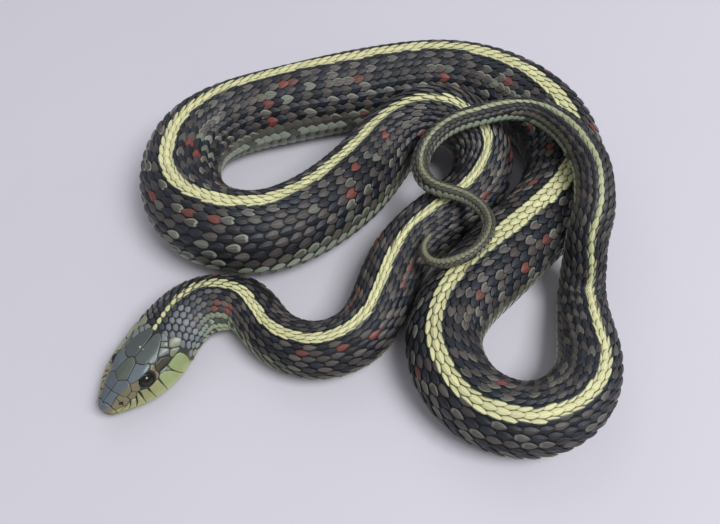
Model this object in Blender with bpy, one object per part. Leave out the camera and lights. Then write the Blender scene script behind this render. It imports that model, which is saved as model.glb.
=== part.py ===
"""A garter snake lying loosely coiled on a flat floor, at life size.

Units are metres and +Z is up.  The floor is z = 0.  The body is one bent tube that is
divided into named lengths; each length stops short of the next by the same small gap.
All sizes below are in millimetres and are turned into metres as the meshes are made.
"""
import math

import bmesh
import bpy
import numpy as np
from mathutils import Matrix, Vector

MM = 0.001
NAME = "garter_snake"

# Route of the body, nape to tail tip: x, y and the height of the underside over the floor
ROUTE = [
    (-42.0, -24.2, 0.0), (-39.5, -20.9, 0.0), (-36.2, -18.6, 0.0), (-32.0, -17.7, 0.0),
    (-28.2, -18.0, 0.0), (-25.2, -20.0, 0.0), (-21.2, -24.9, 0.0), (-17.7, -27.7, 0.0),
    (-11.0, -29.6, 0.0), (-1.5, -25.5, 0.0), (3.5, -15.5, 0.0),
    (8.0, -5.5, 0.0), (16.5, 4.0, 0.0), (24.5, 11.5, 0.0), (28.3, 19.5, 1.5),
    (25.7, 27.3, 5.5), (18.0, 30.8, 7.3), (9.5, 28.3, 5.2), (3.0, 22.5, 1.5),
    (-3.5, 13.8, 0.0), (-12.5, 4.8, 0.0), (-24.0, -1.0, 0.0), (-35.0, 0.3, 0.0),
    (-43.0, 8.0, 0.0), (-45.6, 18.5, 0.0), (-42.3, 29.5, 0.0), (-33.5, 36.0, 0.0),
    (-22.0, 40.0, 0.0), (-7.0, 44.5, 0.0), (9.0, 48.5, 0.0), (22.0, 49.5, 0.0),
    (34.0, 46.2, 0.0), (43.5, 38.2, 0.0), (48.0, 27.5, 0.0), (47.7, 17.0, 0.0),
    (43.5, 7.0, 0.0), (35.8, -1.5, 0.0), (27.5, -10.3, 0.0), (19.5, -19.0, 0.0),
    (15.5, -28.2, 0.0), (17.0, -36.5, 0.0), (22.5, -42.8, 0.0), (31.0, -45.2, 0.0),
    (39.5, -42.0, 0.0), (44.7, -34.5, 0.0), (46.1, -25.2, 0.0), (46.7, -18.8, 0.0),
    (47.1, -13.8, 2.2), (46.9, -10.7, 7.2), (47.0, -7.4, 12.0), (48.2, -3.4, 15.0),
    (48.8, 1.5, 16.9), (48.8, 6.8, 18.3), (47.6, 12.4, 18.9), (45.2, 18.2, 19.0),
    (41.2, 23.0, 18.9), (36.2, 25.3, 18.9), (30.9, 24.7, 19.3), (25.9, 23.0, 19.5),
    (22.0, 22.1, 19.0), (18.4, 21.0, 17.9), (15.2, 19.0, 16.5), (12.9, 16.0, 15.3),
    (11.9, 12.1, 14.2), (13.2, 7.9, 14.0), (17.1, 4.8, 14.7), (20.9, 3.2, 14.9),
    (23.9, 0.6, 15.2), (25.4, -3.3, 16.2), (25.3, -7.5, 17.3), (23.8, -11.1, 17.6),
    (21.1, -13.7, 17.1), (17.7, -14.9, 16.1), (14.7, -14.8, 15.0), (12.6, -13.3, 14.2),
    (11.7, -10.8, 13.8), (12.1, -8.3, 13.6), (13.2, -6.5, 13.7),
]
FOOTPRINT = (1.23, 3.63)     # middle of the footprint in the route's own grid
# Width of the body against the distance along it from the nape
GIRTH = [
    (0.0, 14.6), (5.0, 14.3), (10.0, 13.9), (15.0, 13.0), (19.0, 11.8), (25.0, 11.3),
    (32.0, 12.2), (42.0, 12.7), (60.0, 13.6), (85.0, 14.4),
    (118.0, 14.8), (134.0, 16.8), (150.0, 18.8), (185.0, 19.6), (225.0, 19.0),
    (260.0, 20.6), (290.0, 20.8), (330.0, 19.6), (375.0, 18.2), (395.0, 16.0),
    (430.0, 14.6), (446.0, 13.0), (456.0, 10.6), (468.0, 9.2), (490.0, 8.3),
    (503.0, 6.9), (512.0, 5.5), (530.0, 5.0), (544.0, 4.2), (560.0, 3.2), (575.0, 2.7),
    (586.0, 2.3), (594.0, 1.4), (600.0, 0.8),
]
# Where one length ends and the next begins, with the name of the length that ends there
LENGTHS = [
    ("neck", 15.0), ("nape_curve", 33.0), ("forebody_curve", 60.0), ("forebody", 95.0),
    ("forebody_rise", 112.0), ("arch", 133.0), ("arch_descent", 158.0),
    ("left_loop_front", 186.0), ("left_loop_near_bend", 207.0),
    ("left_loop_far_bend", 232.0), ("far_side_left", 262.0), ("far_side_right", 294.0),
    ("right_bend_far", 318.0), ("right_bend_near", 342.0), ("middle_left", 366.0),
    ("middle_right", 388.0), ("near_loop_left", 407.0), ("near_loop_front", 428.0),
    ("near_loop_right", 452.0), ("tail_root", 470.0), ("tail_rise", 490.0),
    ("tail_bend", 512.0), ("tail_top", 533.0), ("tail_hang", 551.0),
    ("tail_return", 568.0), ("tail_curl", 585.0), ("tail_tip", None),
]
VENT = 452.0                 # distance from the nape to the vent
GAP = 0.3                    # space between two lengths
SCUTE = 5.5                  # one belly plate, measured along the body
TAIL_SCUTE = 3.0             # one plate under the tail
SHARP = math.radians(50.0)   # edges steeper than this stay sharp
SCUTE_STEP = 0.15            # how far the rear edge of a plate stands out
SCUTE_RAMP = 0.35            # share of a plate over which it rises to its full depth
FLAT = 0.88                  # depth of the flat belly below the axis, in half widths
# Height of the section as a share of a full one, by the distance from the nape
DEPTH = [(0.0, 0.78), (8.0, 0.82), (18.0, 0.92), (30.0, 0.96), (50.0, 1.0)]
BELLY_FROM = 100.0           # degrees round from the back where the belly plates begin
SECTION = (0.0, 24.0, 48.0, 72.0, 94.0, 116.0, 136.0, 151.6)   # degrees from the back
SAMPLES = 6000               # points kept along the route
GIRTH_ROUND = 6.0            # the width is averaged this far each way along the body
FRAME_STEP = 1.2             # half the stretch over which a direction is taken
SCUTE_EDGE = 0.04            # share of a plate taken by its front edge
SCUTE_THIN = 0.06            # a plate stands out at most this share of the half width

# Head, by the distance behind the snout: half width, top, underside and mouth line
HEAD_LENGTH = 21.5
HEAD = [
    (0.0, 1.0, 4.4, 2.5, 3.3), (0.3, 1.7, 5.0, 1.8, 3.25), (0.9, 2.5, 5.5, 1.2, 3.2),
    (2.0, 3.2, 6.0, 0.6, 3.1), (3.5, 4.3, 6.5, 0.2, 3.0), (5.5, 5.6, 7.2, 0.0, 2.9),
    (8.0, 6.8, 8.1, 0.0, 2.8), (10.4, 7.5, 8.7, 0.0, 2.75), (13.0, 7.9, 9.0, 0.0, 2.9),
    (16.4, 8.1, 9.5, 0.0, 3.4), (18.5, 7.9, 9.9, 0.0, 4.0), (20.0, 7.6, 10.2, 0.0, 4.5),
    (21.5, 7.3, 10.55, 0.0, 4.9),
]
# Section of the head over the lip as shares of the half width and of the height,
# flat over the crown, then sloping from the brow out to the lip
CROWN = [
    (0.0, 1.0), (0.15, 0.995), (0.30, 0.965), (0.41, 0.915), (0.51, 0.83), (0.59, 0.71),
    (0.67, 0.575), (0.76, 0.43), (0.85, 0.30), (0.93, 0.185), (0.98, 0.09), (1.0, 0.0),
]
CROWN_TO = (13.0, 21.5)      # behind the snout, where the crown gives way to a round neck
HEAD_RINGS = 34
RING_SPREAD = 1.4            # above 1 the rings stand closer toward the snout
CHIN_POWER = 2.6             # squareness of the section under the mouth line
CHIN_INSET = 0.9             # width of the lower jaw as a share of the upper
CHIN_SECTION = (104.0, 120.0, 138.0, 156.0)    # degrees from the top, lip to chin
MOUTH_END = 18.6             # distance behind the snout where the mouth line ends
MOUTH_DEPTH = 0.35
MOUTH_HALF = 0.16            # half height of the mouth line
EYE_BACK = 9.8               # eye centre: behind the snout, out from the middle, up
EYE_OUT = 3.9
EYE_UP = 6.0
EYE_RADIUS = 1.75
BROW_RISE = 0.3
BROW_SPAN = (6.8, 12.6)
BROW_POINTS = (2.0, 6.0)     # part of the section, counted along CROWN, that is raised
LOREAL_HOLLOW = 0.3
LOREAL_SPAN = (4.0, 8.4)
LOREAL_POINTS = (4.5, 9.5)
NOSTRIL = (3.1, 3.15, 4.7)   # behind the snout, out from the middle, up
NOSTRIL_RADIUS = 0.38
SIDES = (("left", -1.0), ("right", 1.0))       # the animal's own left and right
PLATE_RISE = 0.12            # how far a head plate stands out
PLATE_SEAM = 0.22            # width of the groove between two plates

# Plates on the crown, seen from above: distance behind the snout and out from the
# middle.  One side only; the other is its mirror image.
CROWN_PLATES = {
    "internasal": [(1.2, 0.0), (1.5, 1.7), (2.4, 2.4), (4.0, 1.9), (3.7, 0.0)],
    "prefrontal": [(3.7, 0.0), (4.0, 1.9), (4.6, 2.6), (6.7, 2.6), (7.0, 1.75), (6.0, 0.0)],
    "supraocular": [(6.7, 2.6), (7.0, 1.75), (9.8, 1.4), (11.4, 1.7), (12.0, 3.1),
                    (10.8, 3.7), (8.4, 3.6)],
    "parietal": [(11.0, 0.0), (9.8, 1.4), (11.4, 1.7), (12.0, 3.1), (13.5, 4.2),
                 (15.2, 3.2), (17.2, 1.9), (18.0, 0.5), (17.3, 0.0)],
}
FRONTAL = [(6.0, 0.0), (7.0, 1.75), (9.8, 1.4), (11.0, 0.0), (9.8, -1.4), (7.0, -1.75)]
# Lip plates, seen from the side: where one meets the next, and their heights
UPPER_LIPS = (1.2, 2.4, 3.6, 4.7, 6.0, 8.0, 11.3, 15.2, 18.6)
UPPER_LIP_TOP = (4.1, 4.1, 4.1, 4.0, 3.9, 3.9, 4.9, 5.2)
LOWER_LIPS = (1.3, 3.2, 5.5, 8.2, 11.5, 15.0, 18.2)
LOWER_LIP_DROP = 1.3         # depth of the lower lip plates under the mouth line
LIP_MARGIN = 0.05            # bare edge left between a lip plate and the mouth line
LIP_SLOPE = 0.25             # rise of an upper lip plate's top edge toward its rear
CROWN_BLOCK = (4.2, 14.0)    # heights that the blocks marking the crown plates span
LIP_BLOCK = (-12.0, 12.0)    # widths that the blocks marking the lip plates span


def metres(point):
    """One point in millimetres as a vector in metres."""
    return Vector(point) * MM


def material(name, colour, roughness):
    """One plain Principled material."""
    found = bpy.data.materials.get(name)
    if found:
        return found
    made = bpy.data.materials.new(name)
    made.use_nodes = True
    shader = made.node_tree.nodes["Principled BSDF"]
    shader.inputs["Base Color"].default_value = (*colour, 1.0)
    shader.inputs["Roughness"].default_value = roughness
    made.diffuse_color = (*colour, 1.0)
    return made


def spline(points):
    """Natural cubic curve through the points, sampled closely, with its arc length."""
    points = np.array(points, float)
    count = len(points)
    knots = np.r_[0.0, np.cumsum(np.linalg.norm(np.diff(points, axis=0), axis=1))]
    gaps = np.diff(knots)
    left = np.eye(count)
    right = np.zeros((count, 3))
    for i in range(1, count - 1):
        left[i, i - 1:i + 2] = gaps[i - 1], 2 * (gaps[i - 1] + gaps[i]), gaps[i]
        after = (points[i + 1] - points[i]) / gaps[i]
        before = (points[i] - points[i - 1]) / gaps[i - 1]
        right[i] = 6 * (after - before)
    bend = np.linalg.solve(left, right)
    at = np.linspace(0.0, knots[-1], SAMPLES)
    span = np.clip(np.searchsorted(knots, at, side="right") - 1, 0, count - 2)
    a = (knots[span + 1] - at)[:, None]
    b = (at - knots[span])[:, None]
    h = gaps[span][:, None]
    curve = (bend[span] * a ** 3 + bend[span + 1] * b ** 3) / (6 * h)
    curve += (points[span] / h - bend[span] * h / 6) * a
    curve += (points[span + 1] / h - bend[span + 1] * h / 6) * b
    curve[:, 2] = np.maximum(curve[:, 2], 0.0)
    return curve


def smooth_girth(at):
    """Half width at each distance, rounded a little where the slope changes."""
    table = np.array(GIRTH)
    offsets = np.linspace(-GIRTH_ROUND, GIRTH_ROUND, 13)
    values = [np.interp(at + off, table[:, 0], table[:, 1]) for off in offsets]
    return np.mean(values, axis=0) / 2


def depth_share(at):
    """Height of the section as a share of a full one; the neck is flatter."""
    table = np.array(DEPTH)
    return np.interp(at, table[:, 0], table[:, 1])


class Backbone:
    """The curve through the middle of the body, measured from the nape."""

    def __init__(self):
        curve = spline(ROUTE)
        curve[:, :2] -= FOOTPRINT
        run = np.r_[0.0, np.cumsum(np.linalg.norm(np.diff(curve, axis=0), axis=1))]
        curve[:, 2] += FLAT * smooth_girth(run) * depth_share(run)
        self.curve = curve
        self.run = np.r_[0.0, np.cumsum(np.linalg.norm(np.diff(curve, axis=0), axis=1))]
        self.length = self.run[-1]

    def point(self, at):
        """The middle of the body at a distance from the nape."""
        return np.array([np.interp(at, self.run, self.curve[:, k]) for k in range(3)])

    def frame(self, at):
        """Middle, direction, right side and back at a distance from the nape."""
        ahead = self.point(min(at + FRAME_STEP, self.length))
        behind = self.point(max(at - FRAME_STEP, 0.0))
        along = ahead - behind
        along /= np.linalg.norm(along)
        side = np.cross(along, (0.0, 0.0, 1.0))
        side /= np.linalg.norm(side)
        return self.point(at), along, side, np.cross(side, along)


def body_ring(spine, at, recess):
    """Points round the body at a distance from the nape, belly drawn in by recess."""
    middle, _along, side, back = spine.frame(at)
    half = float(smooth_girth(at))
    share = float(depth_share(at))
    angles = list(SECTION) + [180.0] + [360.0 - a for a in reversed(SECTION[1:])]
    ring = []
    for angle in angles:
        turn = math.radians(angle)
        inset = recess if BELLY_FROM < angle < 360.0 - BELLY_FROM else 0.0
        across = (half - inset) * math.sin(turn)
        floor = -FLAT * half * share + inset
        up = max((half - inset) * share * math.cos(turn), floor)
        ring.append(middle + side * across + back * up)
    return ring


def loft(name, rings, first_tip=None, last_tip=None):
    """A closed skin over rings of equal count; an end is a flat face or a point."""
    count = len(rings[0])
    points = [metres(p) for ring in rings for p in ring]
    faces = []
    for i in range(len(rings) - 1):
        for k in range(count):
            a = i * count + k
            b = i * count + (k + 1) % count
            faces.append((a, b, b + count, a + count))
    start = list(range(count))
    end = [(len(rings) - 1) * count + k for k in range(count)]
    if first_tip is None:
        faces.append(tuple(reversed(start)))
    else:
        points.append(metres(first_tip))
        tip = len(points) - 1
        faces += [(start[(k + 1) % count], start[k], tip) for k in range(count)]
    if last_tip is None:
        faces.append(tuple(end))
    else:
        points.append(metres(last_tip))
        tip = len(points) - 1
        faces += [(end[k], end[(k + 1) % count], tip) for k in range(count)]
    mesh = bpy.data.meshes.new(name)
    mesh.from_pydata([tuple(p) for p in points], [], faces)
    mesh.update()
    return mesh


def scute_rings(spine, start, stop):
    """Ring stations between two distances, each with how far its belly is drawn in."""
    plate = SCUTE if start < VENT else TAIL_SCUTE
    count = max(1, round((stop - start) / plate))
    size = (stop - start) / count
    edge = SCUTE_EDGE * size
    stations = []
    for k in range(count):
        low = start + k * size
        stations.append((low + (edge if k else 0.0), 1.0))
        if start < VENT:
            stations.append((low + SCUTE_RAMP * size, 0.0))
        stations.append((low + size, 0.0))
    return stations


def body_length(spine, name, start, stop, last):
    """One length of the body between two distances, its belly laid in plates."""
    rings = []
    for at, drawn in scute_rings(spine, start, stop):
        step = min(SCUTE_STEP, SCUTE_THIN * float(smooth_girth(at)))
        rings.append(body_ring(spine, at, step * drawn))
    tip = None
    if last:
        middle, along, _side, _back = spine.frame(spine.length)
        tip = middle + along * float(smooth_girth(spine.length))
    return loft(name, rings, last_tip=tip)


def head_size(back):
    """Half width, top, underside and mouth line at a distance behind the snout."""
    table = np.array(HEAD)
    return [float(np.interp(back, table[:, 0], table[:, k])) for k in range(1, 5)]


def bump(value, low, high):
    """A smooth hill from 0 to 1 and back between two values."""
    middle = (low + high) / 2
    reach = (high - low) / 2
    part = min(1.0, abs(value - middle) / reach)
    return 0.5 + 0.5 * math.cos(math.pi * part)


def crown_point(back, index):
    """One point of the head's section over the lip, as shares of width and height."""
    wide, high = CROWN[index]
    turn = math.pi / 2 * index / (len(CROWN) - 1)
    low, far = CROWN_TO
    blend = min(1.0, max(0.0, (back - low) / (far - low)))
    blend = blend * blend * (3.0 - 2.0 * blend)
    return (wide + (math.sin(turn) - wide) * blend,
            high + (math.cos(turn) - high) * blend)


def half_section(back):
    """Right half of the head's section, from the crown down to the chin."""
    half, top, under, lip = head_size(back)
    closed = 1.0 if back < MOUTH_END else 0.0
    jaw = half * (CHIN_INSET if closed else 1.0)
    base = lip + MOUTH_HALF
    points = []
    for index in range(len(CROWN)):
        wide, high = crown_point(back, index)
        turn = math.pi / 2 * index / (len(CROWN) - 1)
        swell = BROW_RISE * bump(back, *BROW_SPAN) * bump(index, *BROW_POINTS)
        swell -= LOREAL_HOLLOW * bump(back, *LOREAL_SPAN) * bump(index, *LOREAL_POINTS)
        points.append((wide * half + swell * math.sin(turn),
                       base + high * (top - base) + swell * math.cos(turn)))
    points.append((jaw - MOUTH_DEPTH * closed, lip))
    points.append((jaw, lip - MOUTH_HALF))
    for angle in CHIN_SECTION:
        turn = math.radians(angle)
        across = jaw * abs(math.sin(turn)) ** (2 / CHIN_POWER)
        drop = abs(math.cos(turn)) ** (2 / CHIN_POWER)
        points.append((across, lip - MOUTH_HALF - (lip - MOUTH_HALF - under) * drop))
    points.append((0.0, under))
    return points


def swollen(points, grow):
    """The same half section with every point moved out by grow."""
    moved = []
    last = len(points) - 1
    for i, (x, z) in enumerate(points):
        before = points[i - 1] if i else (-points[1][0], points[1][1])
        after = points[i + 1] if i < last else (-points[i - 1][0], points[i - 1][1])
        run = (after[0] - before[0], after[1] - before[1])
        size = math.hypot(*run)
        moved.append((x - grow * run[1] / size, z + grow * run[0] / size))
    return moved


def head_ring(back, grow):
    """Points round the head at a distance behind the snout, swollen by grow."""
    right = swollen(half_section(back), grow)
    left = [(-x, z) for x, z in reversed(right[1:-1])]
    return [(x, HEAD_LENGTH - back, z) for x, z in right + left]


def head_mesh(name, grow):
    """The skin of the head in its own frame: nape at y = 0, snout toward +Y."""
    share = np.linspace(0.0, 1.0, HEAD_RINGS) ** RING_SPREAD
    backs = (HEAD_LENGTH - GAP / 2) * share
    rings = [head_ring(float(b), grow) for b in reversed(backs)]
    return loft(name, rings)


def shrunk(outline, inset):
    """A convex outline drawn in by inset on every side."""
    points = [Vector(p) for p in outline]
    area = sum(a.x * b.y - b.x * a.y for a, b in zip(points, points[1:] + points[:1]))
    turn = 1.0 if area > 0 else -1.0
    lines = []
    for a, b in zip(points, points[1:] + points[:1]):
        along = (b - a).normalized()
        inward = Vector((-along.y, along.x)) * turn
        lines.append((a + inward * inset, along))
    corners = []
    for (p, u), (q, v) in zip(lines[-1:] + lines[:-1], lines):
        cross = u.x * v.y - u.y * v.x
        reach = ((q - p).x * v.y - (q - p).y * v.x) / cross
        corners.append(p + u * reach)
    return corners


def prisms(name, outlines, place, low, high):
    """Blocks drawn up from closed outlines, joined in one mesh."""
    made = bmesh.new()
    rise = metres(place((0.0, 0.0), high)) - metres(place((0.0, 0.0), low))
    for outline in outlines:
        corners = [made.verts.new(metres(place(c, low)))
                   for c in shrunk(outline, PLATE_SEAM / 2)]
        base = made.faces.new(corners)
        drawn = bmesh.ops.extrude_face_region(made, geom=[base], use_keep_orig=True)
        moved = [v for v in drawn["geom"] if isinstance(v, bmesh.types.BMVert)]
        bmesh.ops.translate(made, verts=moved, vec=rise)
    bmesh.ops.recalc_face_normals(made, faces=made.faces)
    mesh = bpy.data.meshes.new(name)
    made.to_mesh(mesh)
    made.free()
    return mesh


def crown_prisms():
    """Blocks that mark out the plates on top of the head."""
    outlines = [FRONTAL]
    for outline in CROWN_PLATES.values():
        outlines.append(outline)
        outlines.append([(back, -out) for back, out in outline])
    return prisms("crown_blocks", outlines,
                  lambda c, z: (c[1], HEAD_LENGTH - c[0], z), *CROWN_BLOCK)


def lip_prisms():
    """Blocks through the head that mark out the plates along both lips."""
    outlines = []
    for k in range(len(UPPER_LIPS) - 1):
        near, far = UPPER_LIPS[k], UPPER_LIPS[k + 1]
        feet = [head_size(b)[3] + MOUTH_HALF + LIP_MARGIN for b in (near, far)]
        top = UPPER_LIP_TOP[k]
        outlines.append([(near, feet[0]), (far, feet[1]),
                         (far, top + LIP_SLOPE), (near, top)])
    for k in range(len(LOWER_LIPS) - 1):
        near, far = LOWER_LIPS[k], LOWER_LIPS[k + 1]
        heads = [head_size(b)[3] - MOUTH_HALF - LIP_MARGIN for b in (near, far)]
        feet = [head - LOWER_LIP_DROP for head in heads]
        outlines.append([(near, feet[0]), (far, feet[1]), (far, heads[1]), (near, heads[0])])
    return prisms("lip_blocks", outlines,
                  lambda c, x: (x, HEAD_LENGTH - c[0], c[1]), *LIP_BLOCK)


def ball(name, centre, radius, rings=10, sides=18):
    """A round ball in the head's own frame, poles toward the sides."""
    made = bmesh.new()
    turn = Matrix.Rotation(math.pi / 2, 4, "Y")
    bmesh.ops.create_uvsphere(made, u_segments=sides, v_segments=rings,
                              radius=radius * MM,
                              matrix=Matrix.Translation(metres(centre)) @ turn)
    mesh = bpy.data.meshes.new(name)
    made.to_mesh(mesh)
    made.free()
    return mesh


def add(name, mesh, group, coat):
    """Put a mesh in the scene as one named object with one material."""
    made = bpy.data.objects.new(name, mesh)
    group.objects.link(made)
    if coat is not None:
        mesh.materials.append(coat)
    mesh.shade_smooth()
    mesh.set_sharp_from_angle(angle=SHARP)
    return made


def join_step(target, tool, kind):
    """Add one exact Boolean with a tool to the target."""
    tool.hide_render = True
    tool.display_type = "WIRE"
    step = target.modifiers.new(tool.name, "BOOLEAN")
    step.operation = kind
    step.object = tool
    step.solver = "EXACT"


def eye_centre(side):
    """Centre of one eye in the head's frame; side is +1 for x > 0."""
    return (side * EYE_OUT, HEAD_LENGTH - EYE_BACK, EYE_UP)


def build_plates(cutters, place):
    """The raised plates: a slightly larger head kept only inside the marked blocks."""
    plates = []
    for name, blocks in (("crown_plates", crown_prisms()), ("lip_plates", lip_prisms())):
        plate = add(name, head_mesh(name, PLATE_RISE), cutters, None)
        block = add(blocks.name, blocks, cutters, None)
        plate.matrix_world = place
        block.matrix_world = place
        join_step(plate, block, "INTERSECT")
        plates.append(plate)
    return plates


def build_head(group, cutters, place):
    """Head with its plates, lips, brows, eye sockets and nostrils."""
    head = add("head", head_mesh("head", 0.0), group,
               material("head_plates", (0.20, 0.21, 0.19), 0.35))
    head.matrix_world = place
    for plate in build_plates(cutters, place):
        join_step(head, plate, "UNION")
    for word, side in SIDES:
        socket = ball("socket_" + word, eye_centre(side), EYE_RADIUS + GAP)
        at = (side * NOSTRIL[1], HEAD_LENGTH - NOSTRIL[0], NOSTRIL[2])
        pit = ball("nostril_" + word, at, NOSTRIL_RADIUS, 6, 10)
        for mesh in (socket, pit):
            tool = add(mesh.name, mesh, cutters, None)
            tool.matrix_world = place
            join_step(head, tool, "DIFFERENCE")


def build_eyes(group, place):
    """The two eyes, each a ball set in its socket."""
    coat = material("eye", (0.012, 0.012, 0.014), 0.08)
    for word, side in SIDES:
        mesh = ball("eye_" + word, eye_centre(side), EYE_RADIUS)
        add("eye_" + word, mesh, group, coat).matrix_world = place


def build_body(group, spine):
    """Neck, body and tail lengths from the nape to the tip."""
    back = material("back_scales", (0.085, 0.080, 0.062), 0.5)
    tail = material("tail_scales", (0.13, 0.13, 0.10), 0.5)
    start = GAP / 2
    for name, end in LENGTHS:
        stop = spine.length if end is None else end - GAP / 2
        mesh = body_length(spine, name, start, stop, end is None)
        add(name, mesh, group, tail if start > VENT else back)
        start = stop + GAP


def head_place(spine):
    """Where the head sits: nape at the start of the route, snout away from the body."""
    middle, along, _side, _back = spine.frame(0.0)
    toward = Vector((-along[0], -along[1], 0.0)).normalized()
    right = toward.cross(Vector((0.0, 0.0, 1.0)))
    place = Matrix.Identity(4)
    for row in range(3):
        place[row][0] = right[row]
        place[row][1] = toward[row]
        place[row][3] = (middle[0], middle[1], 0.0)[row] * MM
    return place


def main():
    for thing in list(bpy.data.objects):
        bpy.data.objects.remove(thing, do_unlink=True)
    group = bpy.data.collections.new(NAME)
    cutters = bpy.data.collections.new("cutters")
    bpy.context.scene.collection.children.link(group)
    bpy.context.scene.collection.children.link(cutters)
    cutters.hide_render = True
    spine = Backbone()
    place = head_place(spine)
    build_head(group, cutters, place)
    build_eyes(group, place)
    build_body(group, spine)


main()
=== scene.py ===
"""Garter snake, life size: the finish of the model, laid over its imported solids.

Skin, scales, plates and eyes are meshes made from the same route and sizes as the solids.
Lengths in the tables are millimetres; meshes are made in metres.  Distances along the body
run from the nape to the tail tip, and are negative on the head.  Turns are degrees round
the body from the middle of the back, positive to the animal's left.
"""
import math

import bpy
import numpy as np
from bpy.props import FloatProperty, FloatVectorProperty, PointerProperty
from bpy.types import Operator, Panel, PropertyGroup
from mathutils import Matrix, Vector


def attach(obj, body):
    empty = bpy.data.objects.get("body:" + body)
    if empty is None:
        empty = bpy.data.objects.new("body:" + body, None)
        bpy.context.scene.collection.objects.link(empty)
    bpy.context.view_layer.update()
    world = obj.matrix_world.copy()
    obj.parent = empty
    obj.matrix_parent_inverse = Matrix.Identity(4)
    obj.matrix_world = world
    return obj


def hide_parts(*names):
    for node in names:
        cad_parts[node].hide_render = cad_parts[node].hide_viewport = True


bl_info = {
    "name": "Garter snake finish",
    "version": (1, 0, 0),
    "blender": (4, 5, 0),
    "location": "View3D > Sidebar > Snake",
    "description": "Skin, scales, head plates and eyes of a life-size garter snake",
    "category": "Object",
}

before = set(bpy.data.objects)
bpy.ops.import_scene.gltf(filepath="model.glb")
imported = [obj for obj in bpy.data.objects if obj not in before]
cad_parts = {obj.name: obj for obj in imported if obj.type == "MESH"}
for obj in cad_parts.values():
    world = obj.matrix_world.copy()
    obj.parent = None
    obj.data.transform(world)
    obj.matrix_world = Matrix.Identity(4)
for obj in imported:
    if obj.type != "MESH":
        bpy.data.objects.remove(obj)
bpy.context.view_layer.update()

MM = 0.001
SEED = 20
BODY = "root"

# ---------------------------------------------------------------- route of the body
ROUTE = [
    (-42.0, -24.2, 0.0), (-39.5, -20.9, 0.0), (-36.2, -18.6, 0.0), (-32.0, -17.7, 0.0),
    (-28.2, -18.0, 0.0), (-25.2, -20.0, 0.0), (-21.2, -24.9, 0.0), (-17.7, -27.7, 0.0),
    (-11.0, -29.6, 0.0), (-1.5, -25.5, 0.0), (3.5, -15.5, 0.0),
    (8.0, -5.5, 0.0), (16.5, 4.0, 0.0), (24.5, 11.5, 0.0), (28.3, 19.5, 1.5),
    (25.7, 27.3, 5.5), (18.0, 30.8, 7.3), (9.5, 28.3, 5.2), (3.0, 22.5, 1.5),
    (-3.5, 13.8, 0.0), (-12.5, 4.8, 0.0), (-24.0, -1.0, 0.0), (-35.0, 0.3, 0.0),
    (-43.0, 8.0, 0.0), (-45.6, 18.5, 0.0), (-42.3, 29.5, 0.0), (-33.5, 36.0, 0.0),
    (-22.0, 40.0, 0.0), (-7.0, 44.5, 0.0), (9.0, 48.5, 0.0), (22.0, 49.5, 0.0),
    (34.0, 46.2, 0.0), (43.5, 38.2, 0.0), (48.0, 27.5, 0.0), (47.7, 17.0, 0.0),
    (43.5, 7.0, 0.0), (35.8, -1.5, 0.0), (27.5, -10.3, 0.0), (19.5, -19.0, 0.0),
    (15.5, -28.2, 0.0), (17.0, -36.5, 0.0), (22.5, -42.8, 0.0), (31.0, -45.2, 0.0),
    (39.5, -42.0, 0.0), (44.7, -34.5, 0.0), (46.1, -25.2, 0.0), (46.7, -18.8, 0.0),
    (47.1, -13.8, 2.2), (46.9, -10.7, 7.2), (47.0, -7.4, 12.0), (48.2, -3.4, 15.0),
    (48.8, 1.5, 16.9), (48.8, 6.8, 18.3), (47.6, 12.4, 18.9), (45.2, 18.2, 19.0),
    (41.2, 23.0, 18.9), (36.2, 25.3, 18.9), (30.9, 24.7, 19.3), (25.9, 23.0, 19.5),
    (22.0, 22.1, 19.0), (18.4, 21.0, 17.9), (15.2, 19.0, 16.5), (12.9, 16.0, 15.3),
    (11.9, 12.1, 14.2), (13.2, 7.9, 14.0), (17.1, 4.8, 14.7), (20.9, 3.2, 14.9),
    (23.9, 0.6, 15.2), (25.4, -3.3, 16.2), (25.3, -7.5, 17.3), (23.8, -11.1, 17.6),
    (21.1, -13.7, 17.1), (17.7, -14.9, 16.1), (14.7, -14.8, 15.0), (12.6, -13.3, 14.2),
    (11.7, -10.8, 13.8), (12.1, -8.3, 13.6), (13.2, -6.5, 13.7),
]
FOOTPRINT = (1.23, 3.63)     # middle of the footprint in the route's own grid
GIRTH = [                    # width of the body along it
    (0.0, 14.6), (5.0, 14.3), (10.0, 13.9), (15.0, 13.0), (19.0, 11.8), (25.0, 11.3),
    (32.0, 12.2), (42.0, 12.7), (60.0, 13.6), (85.0, 14.4),
    (118.0, 14.8), (134.0, 16.8), (150.0, 18.8), (185.0, 19.6), (225.0, 19.0),
    (260.0, 20.6), (290.0, 20.8), (330.0, 19.6), (375.0, 18.2), (395.0, 16.0),
    (430.0, 14.6), (446.0, 13.0), (456.0, 10.6), (468.0, 9.2), (490.0, 8.3),
    (503.0, 6.9), (512.0, 5.5), (530.0, 5.0), (544.0, 4.2), (560.0, 3.2), (575.0, 2.7),
    (586.0, 2.3), (594.0, 1.4), (600.0, 0.8),
]
GIRTH_ROUND = 6.0            # the width is averaged this far each way along the body
SAMPLES = 6000               # points kept along the route
FRAME_STEP = 1.2             # half the stretch over which a direction is taken
STATION = 0.25               # spacing of the stations at which the body's frame is kept
FLAT = 0.88                  # depth of the flat belly below the axis, in half widths
FLAT_SOFT = 0.05             # rounding of the belly's edge, in half widths
DEPTH = [(0.0, 0.78), (8.0, 0.82), (18.0, 0.92), (30.0, 0.96), (50.0, 1.0)]
VENT = 452.0                 # where the tail begins
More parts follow.
